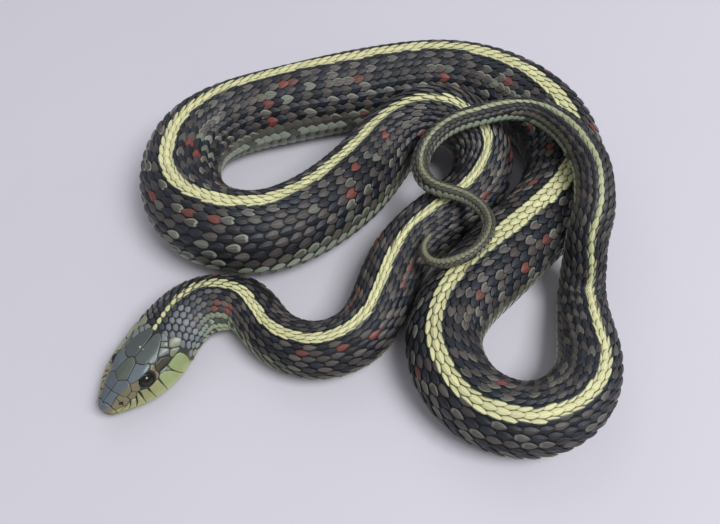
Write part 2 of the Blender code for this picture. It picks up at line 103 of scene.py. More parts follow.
# Where the middle of the back lies, in degrees from straight up
ROLL = [
    (-6.0, -3.0), (0.0, -9.0), (4.0, -13.0), (9.0, -18.0), (12.0, -16.0), (16.0, -6.0),
    (20.0, 2.0), (26.0, 6.0), (32.0, 4.0), (40.0, 0.0), (50.0, -4.0), (74.0, -6.0),
    (84.0, 0.0), (99.0, -2.0), (109.0, -3.0), (117.0, -14.0), (123.0, -12.0),
    (127.0, 0.0), (132.0, 12.0), (138.0, 18.0), (153.0, 18.0), (166.0, 13.0),
    (180.0, 11.0), (188.0, 8.0), (197.0, -4.0), (205.0, -9.0), (225.0, -8.0),
    (238.0, -15.0), (249.0, -17.0), (262.0, -11.0), (285.0, -11.0), (302.0, -6.0),
    (315.0, -2.0), (330.0, -4.0), (345.0, -1.0), (361.0, 3.0), (370.0, 10.0),
    (381.0, 18.0), (400.0, 21.0), (408.0, 22.0), (416.0, 17.0), (425.0, 13.0),
    (434.0, 16.0), (442.0, 15.0), (446.0, 9.0), (450.0, 5.0),
    (458.0, 3.0), (462.0, 1.0), (466.0, -3.0), (470.0, 0.0), (474.0, 5.0), (478.0, 5.0),
    (486.0, 2.0), (492.0, -8.0), (502.0, -10.0),
    (509.0, 0.0), (520.0, -2.0), (540.0, 0.0), (594.0, 0.0),
]

# ---------------------------------------------------------------- rows of scales
PITCH = [                    # spacing of the scales along the body
    (-10.0, 1.45), (0.0, 1.6), (8.0, 1.8), (20.0, 2.05), (40.0, 2.25), (80.0, 2.4),
    (150.0, 2.5), (300.0, 2.5), (390.0, 2.35), (452.0, 2.2), (480.0, 2.05),
    (520.0, 1.7), (560.0, 1.25), (594.0, 0.85),
]
FULL_PITCH = 2.5             # spacing at which a scale has its full thickness
THINNEST = 0.3               # share of the thickness kept at the tail tip
ROWS = 9                     # rows on each side of the middle one
ROW_WIDTH = (0.76, 0.80, 0.87, 0.94, 0.99, 1.03, 1.07, 1.11, 1.2, 1.42)
BACK_SPAN = 121.0            # degrees from the back to the lower edge of the last row
# Rows that run out, counted from the back, and where
ROW_ENDS = {5: 300.0, 7: 432.0, 4: 450.0, 6: 464.0, 3: 488.0, 8: 512.0, 2: 544.0,
            9: 574.0}
ROW_END_SPAN = 7.0           # a row narrows over this distance
ROW_SLIDE = 26.0             # the rows below it shift by half a scale over this

# ---------------------------------------------------------------- head
HEAD_LENGTH = 21.5
# Behind the snout: half width, top, underside and mouth line
HEAD = [
    (0.0, 1.0, 4.4, 2.5, 3.3), (0.3, 1.7, 5.0, 1.8, 3.25), (0.9, 2.5, 5.5, 1.2, 3.2),
    (2.0, 3.2, 6.0, 0.6, 3.1), (3.5, 4.3, 6.5, 0.2, 3.0), (5.5, 5.6, 7.2, 0.0, 2.9),
    (8.0, 6.8, 8.1, 0.0, 2.8), (10.4, 7.5, 8.7, 0.0, 2.75), (13.0, 7.9, 9.0, 0.0, 2.9),
    (16.4, 8.1, 9.5, 0.0, 3.4), (18.5, 7.9, 9.9, 0.0, 4.0), (20.0, 7.6, 10.2, 0.0, 4.5),
    (21.5, 7.3, 10.55, 0.0, 4.9),
]
# Section over the lip, as shares of the half width and of the height
CROWN = [
    (0.0, 1.0), (0.15, 0.995), (0.30, 0.965), (0.41, 0.915), (0.51, 0.83), (0.59, 0.71),
    (0.67, 0.575), (0.76, 0.43), (0.85, 0.30), (0.93, 0.185), (0.98, 0.09), (1.0, 0.0),
]
CROWN_TO = (13.0, 21.5)
CHIN_POWER = 2.6
CHIN_INSET = 0.9
MOUTH_END = 18.6
MOUTH_FADE = 1.4             # the mouth line runs out over this distance
MOUTH_HALF = 0.16
MOUTH_DEPTH = 0.35
MOUTH_TURN = 1.5             # degrees each side of level taken by the mouth line
NOSE_ROUND = 0.6             # extra stations that round off the snout, and their bulge
NOSE_BULGE = 0.2
BROW_RISE = 0.3
BROW_SPAN = (6.8, 12.6)
BROW_POINTS = (2.0, 6.0)
LOREAL_HOLLOW = 0.3
LOREAL_SPAN = (4.0, 8.4)
LOREAL_POINTS = (4.5, 9.5)
EYE_BACK = 9.5
EYE_OUT = 3.7
EYE_UP = 6.05
EYE_RADIUS = 1.62
EYE_AXIS = (0.86, 0.14, 0.46)   # outward, forward and up
CORNEA_RISE = 0.05           # swelling of the front of the eye, in radii
CORNEA_SPAN = 0.75           # angle over which it fades, in radians
SOCKET_RADIUS = 1.70
SOCKET_OPENS = (0.78, 0.62)  # outward and up
NOSTRIL = (2.96, 52.7)       # behind the snout and turn
NOSTRIL_RADIUS = 0.42
NECK_BLEND = (-3.5, 2.5)     # where the head's section turns into the body's


# ---------------------------------------------------------------- shapes in numbers
def table_at(table, at, column=1):
    """Value of a table's column at one or many places, by straight lines."""
    rows = np.asarray(table, float)
    return np.interp(at, rows[:, 0], rows[:, column])


def ease(value, low, high):
    """0 below low, 1 above high and a smooth rise between them."""
    part = np.clip((np.asarray(value, float) - low) / (high - low), 0.0, 1.0)
    return part * part * (3.0 - 2.0 * part)


def hill(value, low, high):
    """A smooth hill from 0 to 1 and back between two values."""
    part = np.abs(np.asarray(value, float) - (low + high) / 2) / ((high - low) / 2)
    return 0.5 + 0.5 * np.cos(np.pi * np.minimum(part, 1.0))


def scale_size(at):
    """Thickness of a scale against the largest ones."""
    return np.clip(table_at(PITCH, at) / FULL_PITCH, THINNEST, 1.0)


class Cubic:
    """Natural cubic curve through values at rising knots."""

    def __init__(self, knots, values):
        self.knots = np.asarray(knots, float)
        self.values = np.asarray(values, float).reshape(len(self.knots), -1)
        gaps = np.diff(self.knots)
        count = len(self.knots)
        left = np.eye(count)
        right = np.zeros_like(self.values)
        for i in range(1, count - 1):
            left[i, i - 1:i + 2] = gaps[i - 1], 2 * (gaps[i - 1] + gaps[i]), gaps[i]
            after = (self.values[i + 1] - self.values[i]) / gaps[i]
            before = (self.values[i] - self.values[i - 1]) / gaps[i - 1]
            right[i] = 6 * (after - before)
        self.bend = np.linalg.solve(left, right)

    def __call__(self, at):
        at = np.clip(np.asarray(at, float), self.knots[0], self.knots[-1])
        span = np.clip(np.searchsorted(self.knots, at, side="right") - 1,
                       0, len(self.knots) - 2)
        a = (self.knots[span + 1] - at)[..., None]
        b = (at - self.knots[span])[..., None]
        h = (self.knots[span + 1] - self.knots[span])[..., None]
        low, high = self.values[span], self.values[span + 1]
        bend_low, bend_high = self.bend[span], self.bend[span + 1]
        curve = (bend_low * a ** 3 + bend_high * b ** 3) / (6 * h)
        curve += (low / h - bend_low * h / 6) * a
        curve += (high / h - bend_high * h / 6) * b
        return curve


def unit(vectors):
    """Vectors of length 1."""
    return vectors / np.linalg.norm(vectors, axis=-1, keepdims=True)


def rows_of(array, index):
    """Rows of an array at fractional indices."""
    low = np.clip(np.floor(index).astype(int), 0, len(array) - 2)
    part = np.clip(index - low, 0.0, 1.0)
    if array.ndim > 1:
        part = part[..., None]
    return array[low] * (1.0 - part) + array[low + 1] * part


class Trunk:
    """The bent tube of neck, body and tail."""

    def __init__(self):
        points = np.array(ROUTE, float)
        knots = np.r_[0.0, np.cumsum(np.linalg.norm(np.diff(points, axis=0), axis=1))]
        curve = Cubic(knots, points)(np.linspace(0.0, knots[-1], SAMPLES))
        curve[:, 2] = np.maximum(curve[:, 2], 0.0)
        curve[:, :2] -= FOOTPRINT
        run = self.run_of(curve)
        curve[:, 2] += FLAT * self.half_at(run) * table_at(DEPTH, run)
        run = self.run_of(curve)
        self.length = run[-1]
        self.at = np.arange(0.0, self.length + STATION, STATION)

        def place(at):
            at = np.clip(at, 0.0, self.length)
            return np.stack([np.interp(at, run, curve[:, k]) for k in range(3)], -1)

        self.mid = place(self.at)
        self.along = unit(place(self.at + FRAME_STEP) - place(self.at - FRAME_STEP))
        self.side = unit(np.cross(self.along, (0.0, 0.0, 1.0)))
        self.back = np.cross(self.side, self.along)
        self.side_bend = (np.gradient(self.side, STATION, axis=0) * self.along).sum(-1)
        self.back_bend = (np.gradient(self.back, STATION, axis=0) * self.along).sum(-1)
        smooth = np.ones(9) / 9
        self.side_bend = np.convolve(self.side_bend, smooth, "same")
        self.back_bend = np.convolve(self.back_bend, smooth, "same")

    @staticmethod
    def run_of(curve):
        """Distance along a curve at each of its points."""
        return np.r_[0.0, np.cumsum(np.linalg.norm(np.diff(curve, axis=0), axis=1))]

    @staticmethod
    def half_at(at):
        """Half width, rounded a little where its slope changes."""
        offsets = np.linspace(-GIRTH_ROUND, GIRTH_ROUND, 13)
        return np.mean([table_at(GIRTH, at + off) for off in offsets], axis=0) / 2

    def section(self, at, turn, lift):
        """Offsets to the side and the back on the section at a distance."""
        half = self.half_at(np.maximum(at, 0.0))
        share = table_at(DEPTH, np.maximum(at, 0.0))
        angle = np.radians(turn)
        across = (half + lift) * np.sin(angle)
        floor = -FLAT * half * share - lift
        rise = (half + lift) * share * np.cos(angle) - floor
        soft = FLAT_SOFT * half
        up = floor + (rise + np.sqrt(rise * rise + soft * soft)) / 2
        return across, up

    def point(self, at, turn, lift=0.0):
        """Points on the body, lifted off its surface."""
        at, turn, lift = np.broadcast_arrays(at, turn, lift)
        index = np.clip(at, 0.0, self.length) / STATION
        across, up = self.section(np.minimum(at, self.length), turn, lift)
        beyond = at - np.clip(at, 0.0, self.length)
        middle = rows_of(self.mid, index)
        middle = middle + rows_of(self.along, index) * beyond[..., None]
        return (middle + rows_of(self.side, index) * across[..., None]
                + rows_of(self.back, index) * up[..., None])

    def stretch(self, at, turn):
        """Length on the surface for a unit length along the middle."""
        index = np.clip(at, 0.0, self.length) / STATION
        across, up = self.section(np.clip(at, 0.0, self.length), turn, 0.0)
        return np.maximum(1.0 + across * rows_of(self.side_bend, index)
                          + up * rows_of(self.back_bend, index), 0.12)


class Skull:
    """The head's surface in its own frame, snout toward +Y, kept as a fine grid."""

    TURNS = 181

    def __init__(self, trunk):
        spread = np.linspace(0.0, 1.0, 200) ** 1.6
        self.back = np.r_[np.linspace(-NOSE_ROUND, 0.0, 16)[:-1], HEAD_LENGTH * spread]
        turn = np.linspace(0.0, 180.0, self.TURNS)
        across, up = self.sections(self.back[:, None], turn[None, :])
        forward = HEAD_LENGTH - np.maximum(self.back, 0.0)
        nose = np.clip(-self.back / NOSE_ROUND, 0.0, 1.0)
        forward = forward + NOSE_BULGE * nose
        shrink = np.sqrt(1.0 - (0.995 * nose) ** 2)[:, None]
        centre = HEAD[0][4]
        across = across * shrink
        up = centre + (up - centre) * np.where(nose[:, None] > 0, shrink, 1.0)
        self.grid = np.stack([across, np.broadcast_to(forward[:, None], across.shape),
                              up], -1)
        down = np.gradient(self.grid, axis=1)
        rear = np.gradient(self.grid, axis=0)
        down[:, 0] = self.grid[:, 1] * (1, 0, 0) - self.grid[:, 0] * (1, 0, 0)
        down[:, -1] = self.grid[:, -1] * (1, 0, 0) - self.grid[:, -2] * (1, 0, 0)
        normal = np.cross(rear, down)
        size = np.linalg.norm(normal, axis=-1, keepdims=True)
        self.normal = normal / np.maximum(size, 1e-12)
        toward = Vector((-trunk.along[0][0], -trunk.along[0][1], 0.0)).normalized()
        right = toward.cross(Vector((0.0, 0.0, 1.0)))
        self.place = np.array([right, toward, (0.0, 0.0, 1.0)], float)
        self.nape = np.array([trunk.mid[0][0], trunk.mid[0][1], 0.0])

    @staticmethod
    def sizes(back):
        """Half width, top, underside and mouth line behind the snout."""
        table = np.array(HEAD)
        rows = Cubic(np.sqrt(table[:, 0]), table[:, 1:])(np.sqrt(np.maximum(back, 0.0)))
        return [rows[..., k] for k in range(4)]

    def sections(self, back, turn):
        """Half section: out from the middle and up, for turns from 0 to 180."""
        half, top, under, lip = self.sizes(back)
        shut = 1.0 - ease(back, MOUTH_END - MOUTH_FADE / 2, MOUTH_END + MOUTH_FADE / 2)
        jaw = half * (1.0 - (1.0 - CHIN_INSET) * shut)
        steps = (len(CROWN) - 1) / (90.0 - MOUTH_TURN)
        index = np.clip(turn * steps, 0.0, len(CROWN) - 1)
        shares = Cubic(np.arange(len(CROWN)), np.array(CROWN))(index)
        angle = np.pi / 2 * index / (len(CROWN) - 1)
        blend = ease(back, *CROWN_TO)
        wide = shares[..., 0] + (np.sin(angle) - shares[..., 0]) * blend
        high = shares[..., 1] + (np.cos(angle) - shares[..., 1]) * blend
        swell = BROW_RISE * hill(back, *BROW_SPAN) * hill(index, *BROW_POINTS)
        swell = swell - (LOREAL_HOLLOW * hill(back, *LOREAL_SPAN)
                         * hill(index, *LOREAL_POINTS))
        base = lip + MOUTH_HALF
        upper = (wide * half + swell * np.sin(angle),
                 base + high * (top - base) + swell * np.cos(angle))
        low = np.radians(np.clip(90.0 + (turn - 90.0 - MOUTH_TURN)
                                 * 90.0 / (90.0 - MOUTH_TURN), 90.0, 180.0))
        jaw_x = jaw * np.abs(np.sin(low)) ** (2 / CHIN_POWER)
        drop = np.abs(np.cos(low)) ** (2 / CHIN_POWER)
        lower = (jaw_x, lip - MOUTH_HALF - (lip - MOUTH_HALF - under) * drop)
        part = np.clip((turn - 90.0 + MOUTH_TURN) / (2 * MOUTH_TURN), 0.0, 1.0)
        across = upper[0] * (1 - part) + lower[0] * part
        up = upper[1] * (1 - part) + lower[1] * part
        return across, up

    def index(self, back, turn):
        """Place in the grid of a distance behind the snout and a turn."""
        return (np.interp(back, self.back, np.arange(len(self.back))),
                np.clip(np.abs(turn), 0.0, 180.0))

    def read(self, grid, back, turn):
        """Values of a grid between its points."""
        i, j = self.index(back, turn)
        i0 = np.clip(np.floor(i).astype(int), 0, grid.shape[0] - 2)
        j0 = np.clip(np.floor(j).astype(int), 0, grid.shape[1] - 2)
        a, b = (i - i0)[..., None], (j - j0)[..., None]
        return (grid[i0, j0] * (1 - a) * (1 - b) + grid[i0 + 1, j0] * a * (1 - b)
                + grid[i0, j0 + 1] * (1 - a) * b + grid[i0 + 1, j0 + 1] * a * b)

    def local(self, back, turn, lift=0.0):
        """Points in the head's frame and the way out of the surface there."""
        back, turn, lift = np.broadcast_arrays(
            np.asarray(back, float), np.asarray(turn, float), lift)
        turn = (turn + 180.0) % 360.0 - 180.0
        point = self.read(self.grid, back, turn)
        normal = unit(self.read(self.normal, back, turn) + 1e-9)
        mirror = np.where(turn > 0, -1.0, 1.0)[..., None] * (1, 0, 0) + (0, 1, 1)
        point, normal = point * mirror, normal * mirror
        return point + normal * lift[..., None], normal

    def world(self, local):
        """Points of the head's frame in the row's frame."""
        return self.nape + local @ self.place


class Snake:
    """Head and body as one surface, with its rows of scales."""

    def __init__(self):
        self.trunk = Trunk()
        self.skull = Skull(self.trunk)
        self.length = self.trunk.length
        self.fine = np.arange(-14.0, self.length + 1.0, 0.25)
        self.count = np.r_[0.0, np.cumsum(0.25 / table_at(PITCH, self.fine))][:-1]
        self.count -= np.interp(0.0, self.fine, self.count)

    def point(self, at, turn, lift=0.0):
        """Points on the snake; the head lies at distances below 0."""
        at, turn, lift = np.broadcast_arrays(
            np.asarray(at, float), np.asarray(turn, float), lift)
        result = self.trunk.point(at, turn, lift)
        near = at < NECK_BLEND[1]
        if near.any():
            part = ease(at[near], *NECK_BLEND)[..., None]
            head, _normal = self.skull.local(HEAD_LENGTH + at[near], turn[near],
                                             lift[near])
            result[near] = result[near] * part + self.skull.world(head) * (1 - part)
        return result

    def row_widths(self, at):
        """Width of each row at each distance, from the middle row down."""
        at = np.asarray(at, float)
        widths = [np.full(at.shape, ROW_WIDTH[0] / 2)]
        for row in range(1, ROWS + 1):
            end = ROW_ENDS.get(row)
            width = np.full(at.shape, ROW_WIDTH[row])
            if end is not None:
                width = width * (1.0 - ease(at, end, end + ROW_END_SPAN))
            widths.append(width)
        return np.stack(widths, -1)

    def row_turn(self, at, row):
        """Middle and half width of a row, in degrees from the middle of the back."""
        widths = self.row_widths(at)
        total = widths.sum(-1)
        if row == 0:
            return np.zeros_like(total), widths[..., 0] / total * BACK_SPAN
        middle = (widths[..., :row].sum(-1) + widths[..., row] / 2) / total * BACK_SPAN
        return middle, widths[..., row] / 2 / total * BACK_SPAN

    def row_place(self, at, turn):
        """Which row a turn from the middle of the back lies in, as a number."""
        widths = self.row_widths(at)
        edges = np.cumsum(widths, -1)
        place = np.abs(turn) / BACK_SPAN * edges[..., -1]
        result = place / ROW_WIDTH[0]
        for row in range(1, ROWS + 1):
            inside = place > edges[..., row - 1]
            width = np.maximum(widths[..., row], 0.05)
            step = row - 0.5 + (place - edges[..., row - 1]) / width
            result = np.where(inside, step, result)
        return np.minimum(result, ROWS + 1.5)

    def roots(self, row, low, high):
        """Distances of the scales' middles in a row, between two distances."""
        slide = np.zeros_like(self.fine)
        for j in range(1, row + 1):
            end = ROW_ENDS.get(j)
            slide += 1.0 if end is None else 1.0 - ease(self.fine, end - ROW_SLIDE / 2,
                                                        end + ROW_SLIDE / 2)
        phase = self.count + slide / 2
        first, last = np.interp([low, high], self.fine, phase)
        numbers = np.arange(math.ceil(first), math.floor(last) + 1)
        at = np.interp(numbers, phase, self.fine)
        end = ROW_ENDS.get(row)
        if end is not None:
            at = at[at < end + ROW_END_SPAN * 0.45]
        return at


# ---------------------------------------------------------------- meshes from numbers
def linear(red, green, blue):
    """A screen colour, 0 to 255, as the linear values that materials take."""
    value = np.array([red, green, blue], float) / 255.0
    return tuple(np.where(value <= 0.04045, value / 12.92,
                          ((value + 0.055) / 1.055) ** 2.4))


class Pile:
    """Closed pieces gathered into one mesh, with their paint and their bake places."""

    def __init__(self):
        self.points, self.quads, self.tris = [], [], []
        self.paint, self.leaf, self.places = [], [], []
        self.total = 0

    def add(self, points, quads, tris, paint, leaf, places):
        """Pieces of one pattern: points are (pieces, points, 3)."""
        pieces, size = points.shape[:2]
        start = self.total + np.arange(pieces)[:, None, None] * size
        for kept, faces in ((self.quads, quads), (self.tris, tris)):
            if len(faces):
                kept.append((np.asarray(faces)[None] + start).reshape(-1,
                                                                      len(faces[0])))
        self.points.append(points.reshape(-1, 3))
        for kept, value, width in ((self.paint, paint, 3), (self.leaf, leaf, 3),
                                   (self.places, places, 2)):
            full = np.broadcast_to(value, (pieces, size, width))
            kept.append(full.reshape(-1, width))
        self.total += pieces * size

    def build(self, name, coat, slot, nodes):
        """The mesh as an object of the model that stands for the named nodes."""
        quads = np.concatenate(self.quads) if self.quads else np.zeros((0, 4), int)
        tris = np.concatenate(self.tris) if self.tris else np.zeros((0, 3), int)
        mesh = bpy.data.meshes.new(name)
        points = np.concatenate(self.points) * MM
        mesh.vertices.add(len(points))
        mesh.vertices.foreach_set("co", points.astype(np.float32).ravel())
        corners = np.concatenate([quads.ravel(), tris.ravel()]).astype(np.int32)
        mesh.loops.add(len(corners))
        mesh.loops.foreach_set("vertex_index", corners)
        sizes = np.r_[np.full(len(quads), 4), np.full(len(tris), 3)].astype(np.int32)
        mesh.polygons.add(len(sizes))
        starts = np.r_[0, np.cumsum(sizes)[:-1]].astype(np.int32)
        mesh.polygons.foreach_set("loop_start", starts)
        mesh.update(calc_edges=True)
        places = np.concatenate(self.places)
        chart = mesh.uv_layers.new(name="OFBake")
        chart.data.foreach_set("uv", places[corners].astype(np.float32).ravel())
        for word, kind, values in (("paint", "FLOAT_COLOR", self.paint),
                                   ("leaf", "FLOAT_VECTOR", self.leaf)):
            values = np.concatenate(values)
            layer = mesh.attributes.new(word, kind, "POINT")
            if kind == "FLOAT_COLOR":
                values = np.concatenate([values, np.ones((len(values), 1))], 1)
                layer.data.foreach_set("color", values.astype(np.float32).ravel())
            else:
                layer.data.foreach_set("vector", values.astype(np.float32).ravel())
        mesh.materials.append(coat)
        mesh.validate()
        mesh.shade_smooth()
        made = bpy.data.objects.new(name, mesh)
        bpy.context.scene.collection.objects.link(made)
        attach(made, BODY)
        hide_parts(*nodes)
        return made


def grid_faces(rows, columns, closed=False):
    """Quads of a grid, wound so that rows x columns faces out of the surface."""
    wide = columns if closed else columns - 1
    i, k = np.meshgrid(np.arange(rows - 1), np.arange(wide), indexing="ij")
    a = (i * columns + k).ravel()
    b = (i * columns + (k + 1) % columns).ravel()
    return np.stack([a, b, b + columns, a + columns], 1)


def rim_of(rows, columns):
    """Indices round the edge of a grid."""
    top = np.arange(columns)
    right = np.arange(1, rows) * columns + columns - 1
    bottom = (rows - 1) * columns + np.arange(columns - 1)[::-1]
    left = np.arange(1, rows - 1)[::-1] * columns
    return np.concatenate([top, right, bottom, left])


def fan(rim, centre):
    """Triangles from a rim to one point under it."""
    return np.stack([np.roll(rim, -1), rim, np.full(len(rim), centre)], 1)


# One scale: stations along it and across it, and its outline
LEAF_ALONG = np.array([0.0, 0.14, 0.30, 0.46, 0.62, 0.76, 0.87, 0.95, 1.0])
LEAF_ACROSS = np.array([-1.0, -0.82, -0.5, -0.17, 0.0, 0.17, 0.5, 0.82, 1.0])
LEAF_OUTLINE = [(0.0, 0.40), (0.14, 0.72), (0.30, 0.96), (0.46, 0.99), (0.62, 0.86),
                (0.76, 0.64), (0.87, 0.41), (0.95, 0.22), (1.0, 0.07)]

KEEL_HEIGHT = 0.40           # in thicknesses of the coat
KEEL_HALF = 0.15             # half width of the keel, in half widths of the scale
SCALE_REACH = 1.40           # length of a scale, in spacings
SCALE_BROAD = 1.22           # width of a scale, in widths of its row
SCALE_MIDDLE = 0.56          # share of a scale that lies before its place
NAPE_SCALES = (4.0, 22.0)    # the scales grow from nape size to body size here
NAPE_NARROW = 0.12
NAPE_SHORT = 0.34
ROOT_DEPTH = 1.9             # how far a scale's root is sunk, in thicknesses
BAKE_PATCH = 0.003           # size of a scale's patch in the bake chart


class Leaves:
    """Many scales laid on the snake."""

    def __init__(self, snake, coat):
        self.snake, self.coat = snake, coat
        x, y = np.meshgrid(LEAF_ALONG, LEAF_ACROSS, indexing="ij")
        self.x, self.y = x.ravel(), y.ravel()
        self.wide = table_at(LEAF_OUTLINE, self.x)
        shape = (len(LEAF_ALONG), len(LEAF_ACROSS))
        self.quads = grid_faces(*shape)
        self.tris = fan(rim_of(*shape), shape[0] * shape[1])

    def lift(self, size, keel, steep):
        """Height of each point of a scale over the outer surface."""
        x, y = self.x, self.y
        rise = -1.12 + (1.04 + 0.15 * steep[:, None]) * x ** 0.85
        dome = 0.20 * (1.0 - y * y) * hill(x, -0.3, 1.25)
        ridge = KEEL_HEIGHT * np.exp(-(y / KEEL_HALF) ** 2) * hill(x, -0.05, 1.12)
        edge = -0.26 * ease(np.abs(y), 0.72, 1.0) - 0.14 * ease(x, 0.88, 1.0)
        shape = rise + (dome + edge) + ridge * keel[:, None]
        return self.coat * size[:, None] * shape

    def lay(self, pile, at, turn, half, row, side, luck, keel, chart):
        """Add scales with their middles at the given distances and turns."""
        snake = self.snake
        pitch = table_at(PITCH, at)
        size = scale_size(at)
        rolled = turn + table_at(ROLL, at)
        stretch = snake.trunk.stretch(at, rolled)
        spread = np.clip(stretch, 0.3, 2.2)
        reach = pitch * SCALE_REACH * np.where(spread > 1.0, spread ** -0.85,
                                               spread ** -0.45)
        reach = reach * (0.97 + 0.08 * luck[:, 0])
        nape = 1.0 - ease(at, *NAPE_SCALES)
        broad = SCALE_BROAD - 0.16 * ease(spread, 1.05, 1.5)
        broad = broad * (1.0 - NAPE_NARROW * nape)
        reach = reach * (1.0 - NAPE_SHORT * nape)
        x = self.x[None] - SCALE_MIDDLE
        along = at[:, None] + reach[:, None] * x
        skew = (luck[:, 1] - 0.5)[:, None] * 0.14
        wide = (half * broad)[:, None] * self.wide[None]
        round_by = wide * self.y[None] + half[:, None] * skew * x * 2.0
        # the row's own course is followed, so that scales keep to it where rows narrow
        angle = turn[:, None] + round_by
        placed = angle + table_at(ROLL, along)
        lift = self.lift(size, keel, luck[:, 2] - 0.5)
        top = snake.point(along, placed, lift)
        under = snake.point(at - reach * 0.1, rolled, -self.coat * size * ROOT_DEPTH)
        points = np.concatenate([top, under[:, None]], 1)
        low, high = chart
        spot = np.stack([0.03 + 0.94 * (at - low) / (high - low),
                         0.5 + turn / 270.0], -1)
        inner = np.stack([self.x - 0.5, self.y * 0.5], -1) * BAKE_PATCH
        places = spot[:, None] + np.concatenate([inner, [[0.0, 0.0]]])[None]
        ask = {"at": along, "turn": angle, "row": row, "side": side, "luck": luck,
               "middle": at, "x": self.x, "y": self.y}
        paint = scale_paint(snake, ask)
        middle = len(self.x) // 2
        paint = np.concatenate([paint, paint[:, middle:middle + 1]], 1)
        leaf = np.empty((len(at), len(self.x) + 1, 3))
        leaf[:, :-1, 0] = self.x
        leaf[:, :-1, 1] = self.y
        leaf[:, -1, :2] = 0.0
        leaf[..., 2] = luck[:, 3:4]
        pile.add(points, self.quads, self.tris, paint, leaf, places)


# ---------------------------------------------------------------- markings
PERIOD = 2.06                # spacing of the dark spots, in scales
STRIPE = [                   # half width of the pale stripe along the back, in rows
    (-4.0, 0.30), (0.0, 0.46), (3.0, 0.62), (6.0, 0.86), (12.0, 1.0), (24.0, 1.04),
    (45.0, 0.94), (70.0, 0.86), (110.0, 0.86),
    (150.0, 0.90), (200.0, 0.98), (300.0, 0.98), (345.0, 1.04), (400.0, 1.04),
    (430.0, 0.94), (452.0, 0.80), (470.0, 0.64), (520.0, 0.60), (594.0, 0.55),
]
FADE_TAIL = (512.0, 566.0)   # the stripe and the spots fade over this stretch


def mixed(low, high, part):
    """Colours between two, by a share for each point."""
    return low + (high - low) * np.asarray(part)[..., None]


def chosen(name):
    """One of the colours that the user sets, as an array."""
    return np.array(getattr(bpy.context.scene.snake_colours, name)[:3])


def palette():
    """The colours of the markings, as arrays."""
    names = ("stripe", "stripe_tail", "black", "blue_black", "brown", "light_brown",
             "brick", "pale", "low_row", "belly", "belly_spot", "tail", "throat",
             "between", "nape", "tail_end")
    return {name: chosen(name) for name in names}


def spots(snake, at, row, side, jitter):
    """How black a place on the flank is, from 0 to 1."""
    count = np.interp(at, snake.fine, snake.count)
    phase = 2 * np.pi * (count / PERIOD + side * 0.23)
    wave = np.cos(phase + 0.9 * np.sin(count * 0.13 + side))
    beside = ease(row, 0.4, 0.6) * (1.0 - ease(row, 1.3, 1.7)) * (jitter > -0.40)
    upper = ease(wave + jitter, -0.30, -0.05) * ease(row, 1.3, 1.7)
    upper = upper * (1.0 - ease(row, 3.3, 3.7))
    between = (jitter > 0.24) * ease(row, 3.3, 3.7) * (1.0 - ease(row, 4.3, 4.7))
    lower = ease(-wave + jitter, -0.25, 0.0) * ease(row, 4.3, 4.7)
    lower = lower * (1.0 - ease(row, 7.3, 7.7))
    return np.clip(upper + between + lower + beside, 0.0, 1.0)


def flank_paint(snake, at, row, side, luck):
    """Colour of the back and sides; luck holds four numbers from 0 to 1 a scale."""
    tint = palette()
    jitter = (luck[..., 0] - 0.5) * 0.9
    base = mixed(tint["brown"], tint["light_brown"], luck[..., 1] ** 1.6)
    pale_part = ease(luck[..., 2], 0.86, 0.97) * 0.5 * hill(at, 60.0, 430.0)
    base = mixed(base, tint["pale"], pale_part * ease(row, 2.5, 4.0))
    dark = spots(snake, at, row, side, jitter)
    ink = mixed(tint["black"], tint["blue_black"], luck[..., 3])
    tail = ease(at, VENT - 6.0, VENT + 40.0)
    late = ease(at, *FADE_TAIL)
    base = mixed(base, tint["tail"], 0.6 * tail)
    paint = mixed(base, ink, dark * (1.0 - 0.25 * tail) * (1.0 - 0.6 * late))
    brick = (luck[..., 2] < 0.036) & (row > 2.6) & (row < 8.5) & (at < 440.0)
    paint = np.where(brick[..., None], mixed(tint["brick"], base, luck[..., 3] * 0.55),
                     paint)
    low = ease(row, 7.6, 8.4)
    low_paint = mixed(tint["low_row"], tint["pale"] * 1.14, ease(row, 8.4, 8.8))
    low_paint = mixed(low_paint, ink, 0.75 * (luck[..., 0] > 0.88))
    paint = mixed(paint, low_paint, low * (0.50 + 0.50 * ease(row, 8.3, 8.7)))
    throat = ((1.0 - ease(at, 22.0, 40.0))
              * ease(row + np.where(side > 0, 1.0, 0.0), 6.2, 7.6))
    paint = mixed(paint, tint["throat"], throat * 0.85)
    paint = mixed(paint, ink, 0.85 * throat * (luck[..., 0] > 0.74))
    nape = (1.0 - ease(at, 0.0, 14.0)) * (1.0 - ease(row, 7.0, 9.0))
    paint = mixed(paint, tint["nape"] * (0.8 + 0.4 * luck[..., 1:2]),
                  nape * np.where(side > 0, 0.9, 0.35) * ease(row, 0.5, 2.0)
                  * (1.0 - 0.5 * dark * ease(at, 1.0, 5.0)))
    return mixed(paint, tint["tail_end"], late * 0.5)


def stripe_part(at, row, jitter):
    """How much of the pale stripe a place has, from 0 to 1."""
    wide = table_at(STRIPE, at) + jitter
    return 1.0 - ease(row, wide - 0.05, wide + 0.05)


